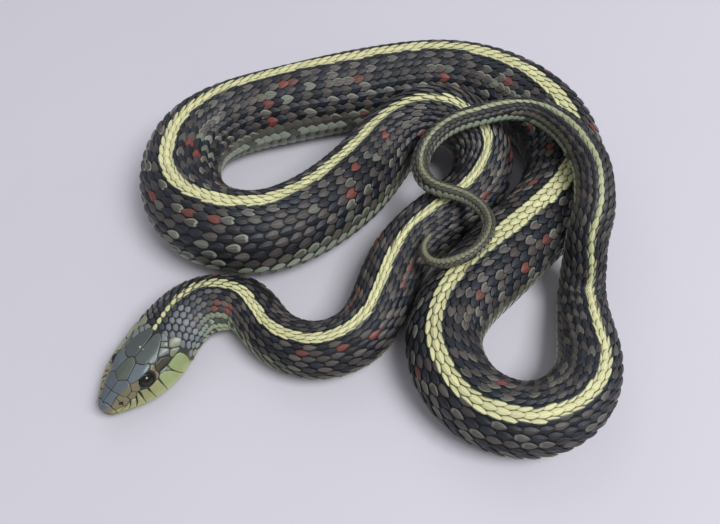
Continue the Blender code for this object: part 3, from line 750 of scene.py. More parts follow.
def scale_paint(snake, ask):
    """Colour at every point of laid scales."""
    tint = palette()
    at, side, luck = ask["at"], ask["side"], ask["luck"][:, None, :]
    middle = ask["middle"][:, None]
    own = np.full(at.shape, float(ask["row"]))
    place = snake.row_place(np.broadcast_to(middle, at.shape), ask["turn"])
    if ask["row"] > 0:
        place = np.where(np.sign(ask["turn"]) == side, place, -place)
    place = own + (place - own) * 0.8
    paint = flank_paint(snake, np.broadcast_to(middle, at.shape), own, side,
                        np.broadcast_to(luck, at.shape + (4,)))
    x, y = ask["x"][None], ask["y"][None]
    bare = (luck[..., 1] > 0.52) & (luck[..., 3] > 0.25) & (own > 1) & (own < 9)
    edge = np.maximum(1.0 - ease(x, 0.16, 0.30), ease(-side * y, 0.62, 0.80))
    fleck = np.where(bare, edge, 0.0) * hill(middle, 50.0, 450.0) ** 0.3
    fleck = fleck * (1.0 - spots(snake, middle, own, side, (luck[..., 0] - 0.5) * 0.9))
    paint = mixed(paint, tint["pale"] * 1.15, fleck * 0.75)
    jitter = (luck[..., 0] - 0.5) * 0.26 + 0.20 * (x - 0.5) * (own == 1)
    part = stripe_part(middle, np.abs(place), jitter)
    late = ease(middle, *FADE_TAIL)
    pale = mixed(tint["stripe"], tint["stripe_tail"], ease(middle, VENT - 10.0, 500.0))
    pale = pale * (0.90 + 0.18 * luck[..., 1:2])
    pale = mixed(pale, tint["tail_end"] * 1.35, late * 0.8)
    return mixed(paint, pale, part)


# ---------------------------------------------------------------- shader expressions
class Socket:
    """A number on a link; the usual signs add the Math nodes that work it out."""

    def __init__(self, shader, link):
        self.shader, self.link = shader, link

    def sum(self, kind, first, second):
        """A Math node on one or two values."""
        return self.shader.add("ShaderNodeMath", {"operation": kind},
                               {0: first, 1: second})[0]

    def __add__(self, other):
        return self.sum("ADD", self, other)

    def __radd__(self, other):
        return self.sum("ADD", other, self)

    def __sub__(self, other):
        return self.sum("SUBTRACT", self, other)

    def __rsub__(self, other):
        return self.sum("SUBTRACT", other, self)

    def __mul__(self, other):
        return self.sum("MULTIPLY", self, other)

    def __rmul__(self, other):
        return self.sum("MULTIPLY", other, self)

    def __pow__(self, other):
        return self.sum("POWER", self, other)

    def __abs__(self):
        return self.sum("ABSOLUTE", self, 0.0)

    def rise(self, low, high):
        """0 below low, 1 above high and a smooth rise between."""
        kind = {"interpolation_type": "SMOOTHSTEP", "clamp": True}
        return self.shader.add("ShaderNodeMapRange", kind,
                               {"Value": self, "From Min": low, "From Max": high})[0]


class Shader:
    """A material under construction round one Principled shader."""

    def __init__(self, name):
        self.material = bpy.data.materials.new(name)
        self.material.use_nodes = True
        self.tree = self.material.node_tree
        self.surface = self.tree.nodes["Principled BSDF"]

    def add(self, kind, settings=None, values=None):
        """A node from its type, its settings and its sockets' values or links."""
        node = self.tree.nodes.new(kind)
        for word, value in (settings or {}).items():
            setattr(node, word, value)
        for key, value in (values or {}).items():
            self.feed(node.inputs[key], value)
        return [Socket(self, out) for out in node.outputs]

    def feed(self, entry, value):
        """Set an entry to a value, or link it."""
        if isinstance(value, Socket):
            self.tree.links.new(value.link, entry)
        else:
            entry.default_value = value

    def set(self, **values):
        """Set the Principled shader's entries by name, with _ for spaces."""
        for word, value in values.items():
            self.feed(self.surface.inputs[word.replace("_", " ")], value)

    def blend(self, factor, first, second, kind="MIX"):
        """A colour between two, or worked out of two."""
        out = self.add("ShaderNodeMix", {"data_type": "RGBA", "blend_type": kind},
                       {0: factor, 6: first, 7: second})
        return out[2]

    def tinted(self, colour, level):
        """A colour made lighter or darker by a number."""
        grey = self.add("ShaderNodeCombineColor", {},
                        {"Red": level, "Green": level, "Blue": level})[0]
        return self.blend(1.0, colour, grey, "MULTIPLY")

    def attribute(self, name):
        """Outputs of a mesh attribute: colour, vector and number."""
        return self.add("ShaderNodeAttribute", {"attribute_name": name})

    def parts(self, vector):
        """The three numbers of a vector."""
        return self.add("ShaderNodeSeparateXYZ", {}, {"Vector": vector})

    def place(self):
        """Position on the object, in metres."""
        return self.add("ShaderNodeTexCoord")[3]

    def vector(self, x, y, z):
        """A vector from three numbers."""
        return self.add("ShaderNodeCombineXYZ", {}, {"X": x, "Y": y, "Z": z})[0]

    def noise(self, vector, size, detail=3.0, roughness=0.55):
        """Noise from 0 to 1."""
        return self.add("ShaderNodeTexNoise", {"noise_dimensions": "3D"},
                        {"Vector": vector, "Scale": size, "Detail": detail,
                         "Roughness": roughness})[0]

    def bump(self, height, strength, distance):
        """A normal from a height, in metres at full strength."""
        return self.add("ShaderNodeBump", {}, {"Strength": strength,
                                               "Distance": distance,
                                               "Height": height})[0]


def scale_material():
    """Dry, keeled scales: streaks along the keel, a painted highlight on the keel, and thin
    dark edges that are partly painted shade of the overlapping scales and partly the dark
    skin.
    """
    made = Shader("keeled_scales")
    paint = made.attribute("paint")[0]
    x, y, luck = made.parts(made.attribute("leaf")[1])
    streaks = made.noise(made.vector(x * 1.6 + luck * 37.0, y * 5.0, luck * 91.0), 2.0)
    specks = made.noise(made.place(), 2600.0, 2.0)
    fine = made.noise(made.vector(x * 2.0 + luck * 11.0, y * 14.0, luck * 53.0), 2.0)
    # thin dark edges: partly painted shade where the scales overlap, partly the dark skin
    # that shows there
    edge = abs(y).rise(0.72, 1.0) * 0.66 + x.rise(0.88, 1.0) * 0.42
    # keel: a painted highlight, the ridge drawn lighter as if it caught the light
    keel = 1.0 - abs(y).rise(0.02, 0.20)
    level = ((1.0 - edge) * (0.66 + 0.34 * streaks + 0.34 * fine + 0.22 * keel)
             * (0.88 + 0.24 * specks))
    made.set(Base_Color=made.tinted(paint, level),
             Roughness=0.30 + 0.22 * streaks + 0.14 * edge,
             Specular_IOR_Level=0.5,
             Normal=made.bump(streaks * 0.4 + fine * 0.4 + specks * 0.2, 0.7, 0.0001))
    return made.material


def plate_material(name, rough):
    """Smooth plates: faint mottling, thin dark edges and fine growth lines."""
    made = Shader(name)
    paint = made.attribute("paint")[0]
    edge_way = made.parts(made.attribute("leaf")[1])[0]
    cloud = made.noise(made.place(), 420.0, 3.0)
    fine = made.noise(made.place(), 2400.0, 3.0)
    edge = 1.0 - edge_way.rise(0.0, 0.09)
    level = (1.0 - 0.35 * edge) * (0.80 + 0.40 * cloud) * (0.93 + 0.14 * fine)
    made.set(Base_Color=made.tinted(paint, level),
             Roughness=rough + 0.14 * fine + 0.12 * edge,
             Specular_IOR_Level=0.5,
             Normal=made.bump(fine * 0.5 + cloud * 0.5, 0.35, 0.00006))
    return made.material


def skin_material():
    """Thin soft skin between the scales, finely wrinkled."""
    made = Shader("skin_between")
    paint = made.attribute("paint")[0]
    folds = made.noise(made.place(), 1900.0, 4.0, 0.6)
    level = 0.65 + 0.7 * folds
    made.set(Base_Color=made.tinted(paint, level), Roughness=0.5 + 0.2 * folds,
             Specular_IOR_Level=0.35, Normal=made.bump(folds, 0.5, 0.0001))
    return made.material


def eye_material():
    """Wet dark eye: round pupil in a nearly black iris with fine rays and a thread."""
    made = Shader("eye_wet")
    way, round_by = made.parts(made.attribute("leaf")[1])[:2]
    rays = made.noise(made.vector(round_by * 9.0, way * 1.5, 0.0), 3.0)
    iris = made.blend(rays, (0.004, 0.004, 0.003, 1.0), (0.014, 0.011, 0.007, 1.0))
    thread = way.rise(0.38, 0.42) * (1.0 - way.rise(0.43, 0.47))
    ringed = made.blend(thread * 0.4, iris, (0.05, 0.04, 0.02, 1.0))
    seen = made.blend(way.rise(0.36, 0.39), (0.002, 0.002, 0.002, 1.0), ringed)
    rim = made.blend(way.rise(0.80, 0.95), seen, (0.006, 0.006, 0.007, 1.0))
    made.set(Base_Color=rim, Roughness=0.12 + 0.05 * rays, Specular_IOR_Level=0.0,
             Coat_Weight=1.0, Coat_Roughness=0.03, Coat_IOR=1.5)
    return made.material


def floor_material(colour):
    """Plain pale floor with a breath of unevenness."""
    made = Shader("floor_plain")
    cloud = made.noise(made.place(), 9.0, 4.0)
    base = (*colour, 1.0)
    made.set(Base_Color=made.tinted(base, 0.96 + 0.08 * cloud),
             Roughness=0.75 + 0.1 * cloud, Specular_IOR_Level=0.2)
    return made.material


# ---------------------------------------------------------------- head plates
# Outlines as places behind the snout (mm) and turns from the crown (degrees)
FRONTAL = [(5.72, 0.0), (6.12, 5.2), (6.87, 14.4), (7.9, 11.8), (9.1, 9.7), (10.15, 7.7),
           (10.8, 4.2), (11.02, 0.0), (10.8, -4.2), (10.15, -7.7), (9.1, -9.7),
           (7.9, -11.8), (6.87, -14.4), (6.12, -5.2)]
# Name, tone of its colour, outline on the left side
PLATES = (
    ("internasal", "crown_front", [
        (1.02, 0.5), (1.36, 13.9), (1.34, 40.0), (1.72, 37.4), (2.95, 26.8),
        (3.82, 23.5), (3.63, 9.0), (3.60, 0.5)]),
    ("prefrontal", "crown_front", [
        (3.66, 0.4), (3.68, 9.2), (3.88, 23.8), (4.06, 39.8), (4.58, 44.2), (5.75, 40.4),
        (6.50, 24.6), (6.84, 15.0), (6.10, 5.6), (5.68, 0.4)]),
    ("supraocular", "brow", [
        (6.88, 15.2), (6.55, 24.4), (7.12, 28.4), (7.95, 30.8), (8.7, 31.9), (9.6, 32.3),
        (10.6, 31.8), (11.4, 30.4), (11.78, 27.0), (11.62, 22.2), (10.98, 19.9),
        (10.5, 14.0), (10.3, 8.5), (9.1, 10.3), (7.92, 12.4)]),
    ("parietal", "crown_rear", [
        (11.10, 0.4), (10.85, 4.9), (10.42, 8.5), (10.62, 13.8), (11.03, 19.5),
        (11.68, 21.8), (11.90, 27.0), (12.48, 31.8), (13.12, 32.7), (14.2, 25.5),
        (16.0, 17.7), (17.27, 13.0), (17.75, 8.4), (17.55, 4.0), (16.7, 1.6),
        (15.2, 0.5)]),
    ("prenasal", "cheek", [
        (1.36, 43.4), (1.72, 38.6), (2.95, 28.0), (2.97, 46.4), (2.66, 48.6),
        (2.54, 52.7), (2.66, 57.0), (2.97, 59.2), (3.0, 63.5), (2.2, 64.5),
        (1.42, 64.0)]),
    ("postnasal", "cheek", [
        (3.03, 46.4), (3.02, 27.6), (3.80, 25.0), (4.04, 40.3), (4.50, 44.9),
        (4.52, 55.2), (3.5, 64.0), (3.05, 63.5), (3.03, 59.2), (3.30, 57.0),
        (3.40, 52.7), (3.30, 48.6)]),
    ("loreal", "cheek", [
        (4.62, 45.2), (5.74, 41.0), (6.42, 49.8), (5.6, 57.8), (4.62, 55.6)]),
    ("preocular", "cheek", [
        (6.56, 25.4), (5.80, 40.6), (6.46, 49.6), (7.0, 51.0), (7.42, 46.5),
        (7.52, 41.0), (7.78, 36.0), (8.1, 32.6), (7.85, 31.2), (7.1, 28.8)]),
    ("postocular_1", "cheek", [
        (10.95, 33.4), (11.5, 31.0), (11.85, 27.6), (12.4, 32.2), (11.98, 37.6),
        (11.75, 42.0), (11.35, 42.2), (11.2, 38.0)]),
    ("postocular_2", "cheek", [
        (11.35, 42.8), (11.75, 42.8), (11.80, 47.0), (11.62, 51.6), (11.0, 54.2),
        (10.45, 53.9), (11.0, 49.5)]),
    ("temporal_1", "dark_temple", [
        (12.03, 38.4), (12.52, 32.8), (13.15, 33.2), (14.2, 33.0), (15.55, 43.2),
        (15.62, 48.2), (13.82, 49.4), (12.2, 48.6), (11.84, 43.4)]),
    ("temporal_low", "temple", [
        (12.2, 49.2), (13.86, 50.0), (14.0, 55.5), (13.8, 59.2), (12.85, 52.0),
        (11.8, 51.0)]),
    ("temporal_2", "temple", [
        (13.95, 29.0), (14.35, 25.8), (15.55, 21.0), (16.4, 31.4), (16.4, 35.3),
        (15.85, 38.4), (14.7, 33.6)]),
    ("temporal_3", "temple", [
        (15.68, 20.4), (16.52, 15.9), (17.42, 24.8), (16.62, 30.4)]),
    ("temporal_4", "temple", [
        (16.62, 15.4), (17.3, 13.2), (17.85, 9.4), (18.2, 18.3), (17.52, 24.2)]),
    ("temporal_5", "temple_rear", [
        (17.95, 24.6), (18.95, 28.4), (19.6, 39.4), (19.3, 43.6), (18.36, 45.3),
        (17.05, 36.9), (16.8, 31.2), (17.3, 28.0)]),
    ("temporal_6", "temple_rear", [
        (16.5, 36.4), (17.1, 38.0), (18.2, 46.2), (17.7, 48.4), (16.7, 47.6),
        (15.75, 47.0), (15.7, 42.8), (15.95, 39.4)]),
    ("upper_lip_1", "lip", [
        (1.42, 65.0), (2.2, 65.5), (3.35, 65.2), (2.25, 76.3), (1.85, 87.3),
        (1.36, 87.3)]),
    ("upper_lip_2", "lip", [
        (3.50, 65.0), (4.40, 57.4), (3.68, 72.0), (3.1, 87.3), (1.95, 87.3),
        (2.35, 76.8)]),
    ("upper_lip_3", "lip", [
        (4.58, 56.6), (5.6, 58.6), (5.1, 66.0), (4.62, 78.0), (4.45, 87.3),
        (3.2, 87.3), (3.75, 72.8)]),
    ("upper_lip_4", "lip", [
        (5.72, 58.4), (6.42, 50.6), (6.72, 56.5), (6.28, 71.9), (6.15, 87.3),
        (4.55, 87.3), (4.72, 78.6), (5.2, 67.0)]),
    ("upper_lip_5", "lip", [
        (6.6, 50.8), (7.05, 51.6), (7.9, 54.4), (8.3, 55.8), (8.2, 66.0), (8.15, 87.3),
        (6.25, 87.3), (6.38, 71.9), (6.82, 56.5)]),
    ("upper_lip_6", "lip", [
        (8.42, 56.0), (9.0, 56.4), (9.7, 55.8), (10.5, 54.8), (10.98, 55.6),
        (10.9, 64.0), (10.75, 74.0), (10.7, 87.3), (8.25, 87.3), (8.3, 66.0)]),
    ("upper_lip_7", "lip_rear", [
        (11.12, 55.4), (11.7, 52.0), (12.8, 52.8), (13.8, 60.0), (14.3, 67.9),
        (14.8, 78.0), (15.3, 87.3), (10.8, 87.3), (10.85, 74.0), (11.0, 64.0)]),
    ("upper_lip_8", "lip_rear", [
        (14.14, 50.6), (15.3, 49.4), (16.7, 48.6), (17.5, 52.0), (17.9, 60.0),
        (17.95, 72.0), (17.6, 87.3), (15.45, 87.3), (14.95, 78.0), (14.42, 67.1),
        (14.05, 57.0)]),
)
# Sutures of the upper lip: upper and lower end, and strength of the dark bar
LIP_BARS = (
    ((3.44, 65.0), (2.28, 77.0), 0.35), ((4.50, 56.6), (3.70, 73.0), 0.8),
    ((5.70, 58.5), (4.70, 78.6), 1.0), ((6.74, 55.0), (6.28, 74.0), 1.0),
    ((8.34, 55.0), (8.22, 68.0), 1.0), ((11.0, 54.0), (10.8, 72.0), 0.9),
)
LOWER_LIPS = (1.25, 2.6, 4.2, 6.0, 8.0, 10.4, 13.2, 16.0, 18.4)
LOWER_LIP_TURNS = (92.2, 106.0)
PALE_DOTS = ((13.35, -3.4, 0.27), (13.3, 2.6, 0.15))   # behind the snout, turn, radius
# Chin shields from below: behind the snout and turn
CHIN_PLATES = (
    [(2.7, 179.0), (3.0, 160.0), (4.4, 144.0), (6.2, 140.0), (7.3, 152.0),
     (7.4, 179.0)],
    [(7.5, 178.5), (7.4, 152.0), (9.0, 143.0), (11.0, 150.0), (12.4, 166.0),
     (12.2, 178.5)],
)
# Small scales of the throat: turn, and how far behind the snout each row begins
THROAT_ROWS = ((110.0, 2.6), (121.0, 4.6), (132.0, 6.6), (143.0, 9.6), (154.0, 12.0),
               (165.0, 13.2), (176.0, 13.6))
THROAT_END = 20.5
# Where the small scales of nape and temple begin: turn, behind the snout
NAPE_FROM = [(0.0, 17.7), (5.0, 18.3), (9.0, 18.2), (14.0, 18.0), (19.0, 18.3), (25.0, 18.3),
             (30.0, 19.0), (38.0, 19.8), (43.0, 20.2), (47.0, 19.0), (53.0, 18.4),
             (62.0, 18.7), (76.0, 18.7), (92.0, 19.0), (121.0, 19.5)]
BELLY_HALF = 63.0            # degrees from the lowest line to the end of a belly plate
BELLY_FROM_AT = -2.0


def rounded(outline, times=2):
    """A closed outline with its corners cut round."""
    points = np.asarray(outline, float)
    for share in (0.07, 0.25)[:times]:
        after = np.roll(points, -1, axis=0)
        points = np.stack([points + (after - points) * share,
                           points + (after - points) * (1.0 - share)], 1)
        points = points.reshape(-1, 2)
    return points


def filled(outline, step):
    """A closed outline with points no further apart than step."""
    found = []
    for a, b in zip(outline, np.roll(outline, -1, axis=0)):
        parts = max(1, int(math.ceil(np.linalg.norm(b - a) / step)))
        found += [a + (b - a) * k / parts for k in range(parts)]
    return np.array(found)


class HeadPlates:
    """Plates of the head, each a low cushion with rounded edges."""

    INSETS = (0.0, 0.03, 0.07, 0.12, 0.19)     # rings of the rounded edge
    INNER = (0.8, 0.55, 0.3, 0.1)              # rings of the flat, as shares
    INSET_MOST = 0.55                          # of the plate's own radius
    STEP = 0.22                                # spacing of the points round a plate
    SKIRT = 1.3                                # depth of its edge, in coats
    ROOT = 2.2                                 # depth of its closed underside

    def __init__(self, skull, rise, seam, coat, generator):
        self.skull, self.rise, self.seam, self.coat = skull, rise, seam, coat
        self.generator = generator
        self.pile = Pile()

    def add(self, outline, paint, swell=0.06, rise=None):
        """A plate from its outline of distances behind the snout and turns."""
        rise = self.rise if rise is None else rise
        outline = np.asarray(outline, float)
        middle = outline.mean(0)
        pair, _n = self.skull.local(middle[0], middle[1] + np.array([-2.0, 2.0]))
        scale = np.linalg.norm(pair[1] - pair[0]) / 4.0
        flat = filled(rounded(outline * (1.0, scale)), self.STEP)
        middle = flat.mean(0)
        way = flat - middle
        radius = np.linalg.norm(way, axis=1)
        way = way / radius[:, None]
        radius = radius - self.seam / 2
        rings, lifts, edges = [], [], []
        top = max(self.INSETS)
        for inset in self.INSETS:
            cut = np.minimum(inset, radius * self.INSET_MOST * inset / top)
            rings.append(middle + way * (radius - cut)[:, None])
            round_up = math.sqrt(max(0.0, 1.0 - (1.0 - inset / top) ** 2))
            lifts.append(np.full(len(flat), -self.SKIRT * self.coat
                                 + (rise + self.SKIRT * self.coat) * round_up))
            edges.append(np.full(len(flat), inset))
        inner = np.minimum(top, radius * self.INSET_MOST)
        for share in self.INNER:
            rings.append(middle + way * ((radius - inner) * share)[:, None])
            lifts.append(np.full(len(flat), rise + swell * (1.0 - share ** 2)))
            edges.append(np.full(len(flat), top))
        count = len(flat)
        places = np.concatenate(rings + [middle[None], middle[None]])
        lift = np.concatenate(lifts + [[rise + swell], [-self.ROOT * self.coat]])
        edge = np.concatenate(edges + [[top], [0.0]])
        back, turn = places[:, 0], places[:, 1] / scale
        points, _normal = self.skull.local(back, turn, lift)
        rows = len(rings)
        quads = grid_faces(rows, count, closed=True)[:, ::-1]
        last = (rows - 1) * count + np.arange(count)
        tris = np.concatenate([fan(last, rows * count),
                               fan(np.arange(count), rows * count + 1)[:, ::-1]])
        if self.winding(flat) < 0:
            quads, tris = quads[:, ::-1], tris[:, ::-1]
        luck = self.generator.random()
        colour = paint(back, turn) if callable(paint) else np.asarray(paint)
        colour = np.broadcast_to(colour, (len(points), 3)) * (0.94 + 0.12 * luck)
        leaf = np.stack([edge, np.zeros_like(edge), np.full_like(edge, luck)], -1)
        chart = np.stack([0.04 + 0.92 * (back + NOSE_ROUND) / (HEAD_LENGTH + 1.0),
                          0.5 + turn / 400.0], -1)
        self.pile.add(self.skull.world(points)[None], quads, tris, colour[None],
                      leaf[None], chart[None])

    @staticmethod
    def winding(flat):
        """Twice the signed area of a closed outline."""
        after = np.roll(flat, -1, axis=0)
        return float((flat[:, 0] * after[:, 1] - after[:, 0] * flat[:, 1]).sum())

    def nose_plate(self, low, high, edge_back, paint, coat_turn):
        """The plate that wraps round the tip of the snout, over or under the mouth."""
        turns = np.linspace(low, high, 33)
        shares = np.linspace(0.0, 1.0, 15) ** 0.8
        reach = np.array([edge_back(t) for t in turns])
        back = -NOSE_ROUND + (reach[:, None] + NOSE_ROUND) * shares[None]
        turn = np.broadcast_to(turns[:, None], back.shape)
        side_way = np.minimum(np.abs(turn - low), np.abs(high - turn)) * 0.03 * (
            0.15 + shares[None])
        edge = np.minimum((1.0 - shares[None]) * (reach[:, None] + NOSE_ROUND), side_way)
        round_up = np.sqrt(1.0 - (1.0 - np.clip(edge / 0.25, 0.0, 1.0)) ** 2)
        lift = (-self.SKIRT * self.coat
                + (self.rise + self.SKIRT * self.coat) * round_up)
        top, _n = self.skull.local(back, turn, lift)
        under, _n = self.skull.local(back, turn, -2.0 * self.coat)
        shape = back.shape
        size = shape[0] * shape[1]
        points = np.concatenate([top.reshape(-1, 3), under.reshape(-1, 3)])
        face = grid_faces(*shape)
        rim = rim_of(*shape)
        wall = np.stack([rim, np.roll(rim, -1), np.roll(rim, -1) + size, rim + size], 1)
        quads = np.concatenate([face[:, ::-1], face + size, wall])
        colour = np.broadcast_to(paint(back.ravel(), turn.ravel()), (size, 3))
        leaf = np.zeros((2 * size, 3))
        leaf[:size, 0] = edge.ravel()
        leaf[:, 2] = coat_turn
        chart = np.stack([0.01 + 0.02 * np.broadcast_to(shares[None], shape).ravel(),
                          0.5 + turn.ravel() / 400.0], -1)
        self.pile.add(self.skull.world(points)[None], quads, [],
                      np.concatenate([colour, colour])[None], leaf[None],
                      np.concatenate([chart, chart])[None])


def head_paint(back, turn):
    """Ground colour of the head by place; the snout's blue-grey is partly a painted sky
    reflection.
    """
    names = ("crown_front", "crown", "crown_rear", "cheek", "temple", "lip", "throat")
    front, crown, rear, tan, temple, lip, throat = (chosen(name) for name in names)
    back, turn = np.broadcast_arrays(np.asarray(back, float),
                                     np.abs((np.asarray(turn) + 180) % 360 - 180))
    paint = mixed(front, crown, ease(back, 5.5, 7.5))
    paint = mixed(paint, rear, ease(back, 10.5, 12.0))
    side = mixed(tan, temple, ease(back, 11.0, 13.5))
    start = np.interp(back, [0, 4, 6, 8, 12, 14, 17], [38, 27, 25, 31, 32, 29, 16])
    paint = mixed(paint, side, ease(turn, start - 2.0, start + 2.0))
    top = np.interp(back, [0, 4, 8, 11, 13, 15, 19], [62, 58, 56, 55, 55, 52, 52])
    paint = mixed(paint, lip, ease(turn, top - 2.0, top + 3.0) * ease(back, 0.2, 1.2))
    return mixed(paint, throat, ease(turn, 100.0, 116.0))


def plate_paint(tone, back, turn):
    """Colour of one plate: its own tone, the cheek's on the side, bars on the lip, and
    painted shade on the far side's crown plates.
    """
    ink = chosen("black")
    own = chosen(tone)
    far = np.asarray(turn) < 0
    turn = np.abs(turn)
    paint = np.broadcast_to(own, back.shape + (3,))
    # snout plates: their blue-grey top, partly a painted sky reflection, gives way to the
    # cheek's tan down the side
    if tone == "crown_front":
        paint = mixed(paint, chosen("cheek"), ease(turn, 24.0, 28.0)
                      * ease(back, 3.0, 3.6))
    if tone == "crown_rear":
        paint = paint * (1.0 + 0.12 * ease(turn, 12.0, 30.0))[..., None]
    # crown plates on the far side (turns below 0) made darker: painted shade
    if tone in ("crown_front", "crown_rear", "brow", "crown"):
        paint = paint * np.where(far, 0.84, 1.0)[..., None]
    if tone == "dark_temple":
        dark = ease(turn, 44.0, 48.5) * (1.0 - 0.5 * ease(back, 13.0, 15.0))
        paint = mixed(paint, ink, dark)
    if tone in ("lip", "lip_rear"):
        paint = mixed(paint, chosen("lip_low"), ease(turn, 70.0, 86.0) * 0.6)
        paint = mixed(paint, ink, lip_bars(back, turn))
    return paint


def lip_bars(back, turn):
    """How dark the lip is along its sutures, widest at the top."""
    dark = np.zeros(np.shape(back))
    for (b0, t0), (b1, t1), strength in LIP_BARS:
        reach = np.clip((turn - t0) / (t1 - t0), 0.0, 1.0)
        away = np.abs(back - b0 - (b1 - b0) * reach)
        wide = 0.30 - 0.22 * reach
        past = 1.0 - ease(turn, t1 - 4.0, t1 + 3.0)
        dark = np.maximum(dark, (1.0 - ease(away, wide * 0.5, wide)) * strength * past)
    return dark


def socket_edge(skull, side):
    """Points where the eye's socket cuts the head's surface, as a closed loop."""
    centre, axis, across, upward = eye_axes(side)
    around = np.linspace(0.0, 2 * np.pi, 73)[:-1]
    tilt = np.radians(np.linspace(20.0, 120.0, 201))
    loop = []
    for angle in around:
        way = across * math.cos(angle) + upward * math.sin(angle)
        ring = centre + SOCKET_RADIUS * (axis[None] * np.cos(tilt)[:, None]
                                         + way[None] * np.sin(tilt)[:, None])
        back = HEAD_LENGTH - ring[:, 1]
        turns = np.linspace(0.0, 90.0, 181)
        inside = []
        for b, point in zip(back, ring):
            row = skull.read(skull.grid, np.full(181, b), turns)
            wide = np.interp(-point[2], -row[:, 2], row[:, 0])
            inside.append(wide - abs(point[0]))
        inside = np.array(inside)
        first = int(np.argmax(inside > 0.0))
        loop.append(ring[first])
    loop = np.array(loop)
    for _ in range(3):
        loop = (np.roll(loop, 1, 0) + loop * 2 + np.roll(loop, -1, 0)) / 4
    return loop


def eye_axes(side):
    """Centre of an eye and its axes: outward, forward and up; side +1 is the left."""
    centre = np.array([-side * EYE_OUT, HEAD_LENGTH - EYE_BACK, EYE_UP])
    outward, forward, up = EYE_AXIS
    axis = np.array([-side * outward, forward, up])
    axis /= np.linalg.norm(axis)
    across = np.cross(axis, (0.0, 0.0, 1.0))
    across /= np.linalg.norm(across)
    return centre, axis, across, np.cross(across, axis)


# ---------------------------------------------------------------- the whole model
# Solids that the finish stands for, and where each ends along the body
FLESH = {
    "head": 0.0, "neck": 15.0, "nape_curve": 33.0, "forebody_curve": 60.0,
    "forebody": 95.0, "forebody_rise": 112.0, "arch": 133.0, "arch_descent": 158.0,
    "left_loop_front": 186.0, "left_loop_near_bend": 207.0, "left_loop_far_bend": 232.0,
    "far_side_left": 262.0, "far_side_right": 294.0, "right_bend_far": 318.0,
    "right_bend_near": 342.0, "middle_left": 366.0, "middle_right": 388.0,
    "near_loop_left": 407.0, "near_loop_front": 428.0, "near_loop_right": 452.0,
    "tail_root": 470.0, "tail_rise": 490.0, "tail_bend": 512.0, "tail_top": 533.0,
    "tail_hang": 551.0, "tail_return": 568.0, "tail_curl": 585.0, "tail_tip": 594.0,
}
# Coat pieces along the body: name, where each ends, and its material slot
COATS = [
    ("scales_forebody", 92.0, "back_scales"), ("scales_arch", 168.0, "back_scales"),
    ("scales_left_loop", 236.0, "back_scales"), ("scales_far_side", 304.0, "back_scales"),
    ("scales_middle", 376.0, "back_scales"), ("scales_near_loop", 454.0, "back_scales"),
    ("scales_tail", 594.0, "tail_scales"),
]
known = {}


def snake_shape():
    """The snake's shape, worked out once."""
    if "snake" not in known:
        known["snake"] = Snake()
    return known["snake"]


def sizes():
    """The sizes that the user sets."""
    return bpy.context.scene.snake_sizes


def skin_turns():
    """Turns of the skin's points, closer together along the mouth."""
    half = np.concatenate([np.linspace(0.0, 84.0, 29),
                           [86.0, 87.6, 88.8, 89.5, 90.0, 90.5, 91.2, 92.4, 94.0],
                           np.linspace(97.0, 180.0, 28)])
    return np.concatenate([half, -half[1:-1][::-1]])


def skin_points(snake, at, turn):
    """The skin, drawn in under its scales, with mouth line, sockets and nostrils."""
    coat = sizes().coat_depth / MM
    head_coat = sizes().head_coat / MM
    depth = np.where(at < 0, head_coat + (coat - head_coat) * ease(at, -6.0, -1.0),
                     coat * scale_size(at))
    back = HEAD_LENGTH + at
    shut = 1.0 - ease(back, MOUTH_END - MOUTH_FADE, MOUTH_END)
    line = np.exp(-((np.abs(turn) - 90.0) / 1.1) ** 2) * MOUTH_DEPTH * shut
    lift = -depth - line * (back < MOUTH_END)
    points = snake.point(at, turn, lift)
    skull = snake.skull
    head = at < -1.0
    local, normal = skull.local(back[head], turn[head], lift[head])
    for side in (1, -1):
        centre = eye_axes(side)[0]
        axis = np.array([-side * SOCKET_OPENS[0], 0.0, SOCKET_OPENS[1]])
        away = local - centre
        along = away @ axis
        inside = SOCKET_RADIUS ** 2 - (away * away).sum(1)
        push = along + np.sqrt(np.maximum(along ** 2 + inside, 0.0))
        local = np.where((inside > 0)[:, None], local - axis * push[:, None], local)
        pit, _n = skull.local(np.array([NOSTRIL[0]]), np.array([side * NOSTRIL[1]]), 0.0)
        gone = np.linalg.norm(local - pit, axis=1)
        sink = 0.55 * (1.0 - ease(gone, NOSTRIL_RADIUS * 0.5, NOSTRIL_RADIUS * 1.3))
        local = local - normal * sink[:, None]
    near = ease(at[head], *NECK_BLEND)[:, None]
    points[head] = points[head] * near + skull.world(local) * (1.0 - near)
    return points


def skin_paint(snake, at, turn):
    """Colour of the skin: dark between the scales, paler under the pale ones."""
    tint = palette()
    rolled = turn - table_at(ROLL, at)
    rolled = (rolled + 180.0) % 360.0 - 180.0
    row = snake.row_place(at, rolled)
    side = np.where(rolled > 0, 1.0, -1.0)
    luck = np.full(at.shape + (4,), 0.5)
    own = flank_paint(snake, at, row, side, luck)
    paint = mixed(tint["between"], own, 0.12)
    paint = mixed(paint, tint["stripe"] * 0.30, stripe_part(at, row, -0.1) * 0.8)
    belly = ease(np.abs(rolled), 112.0, 122.0)
    paint = mixed(paint, tint["belly"] * 0.45, belly)
    head = 1.0 - ease(at, -5.0, 0.0)
    suture = chosen("suture")
    tone = head_paint(HEAD_LENGTH + at, turn)
    lips = ease(np.abs(turn), 62.0, 70.0)
    on_head = mixed(np.broadcast_to(suture, tone.shape), tone * 0.5, 0.15 + 0.55 * lips)
    line = np.exp(-((np.abs(turn) - 90.0) / 1.6) ** 2)
    on_head = mixed(on_head, suture * 0.5, line)
    return mixed(paint, on_head, head)


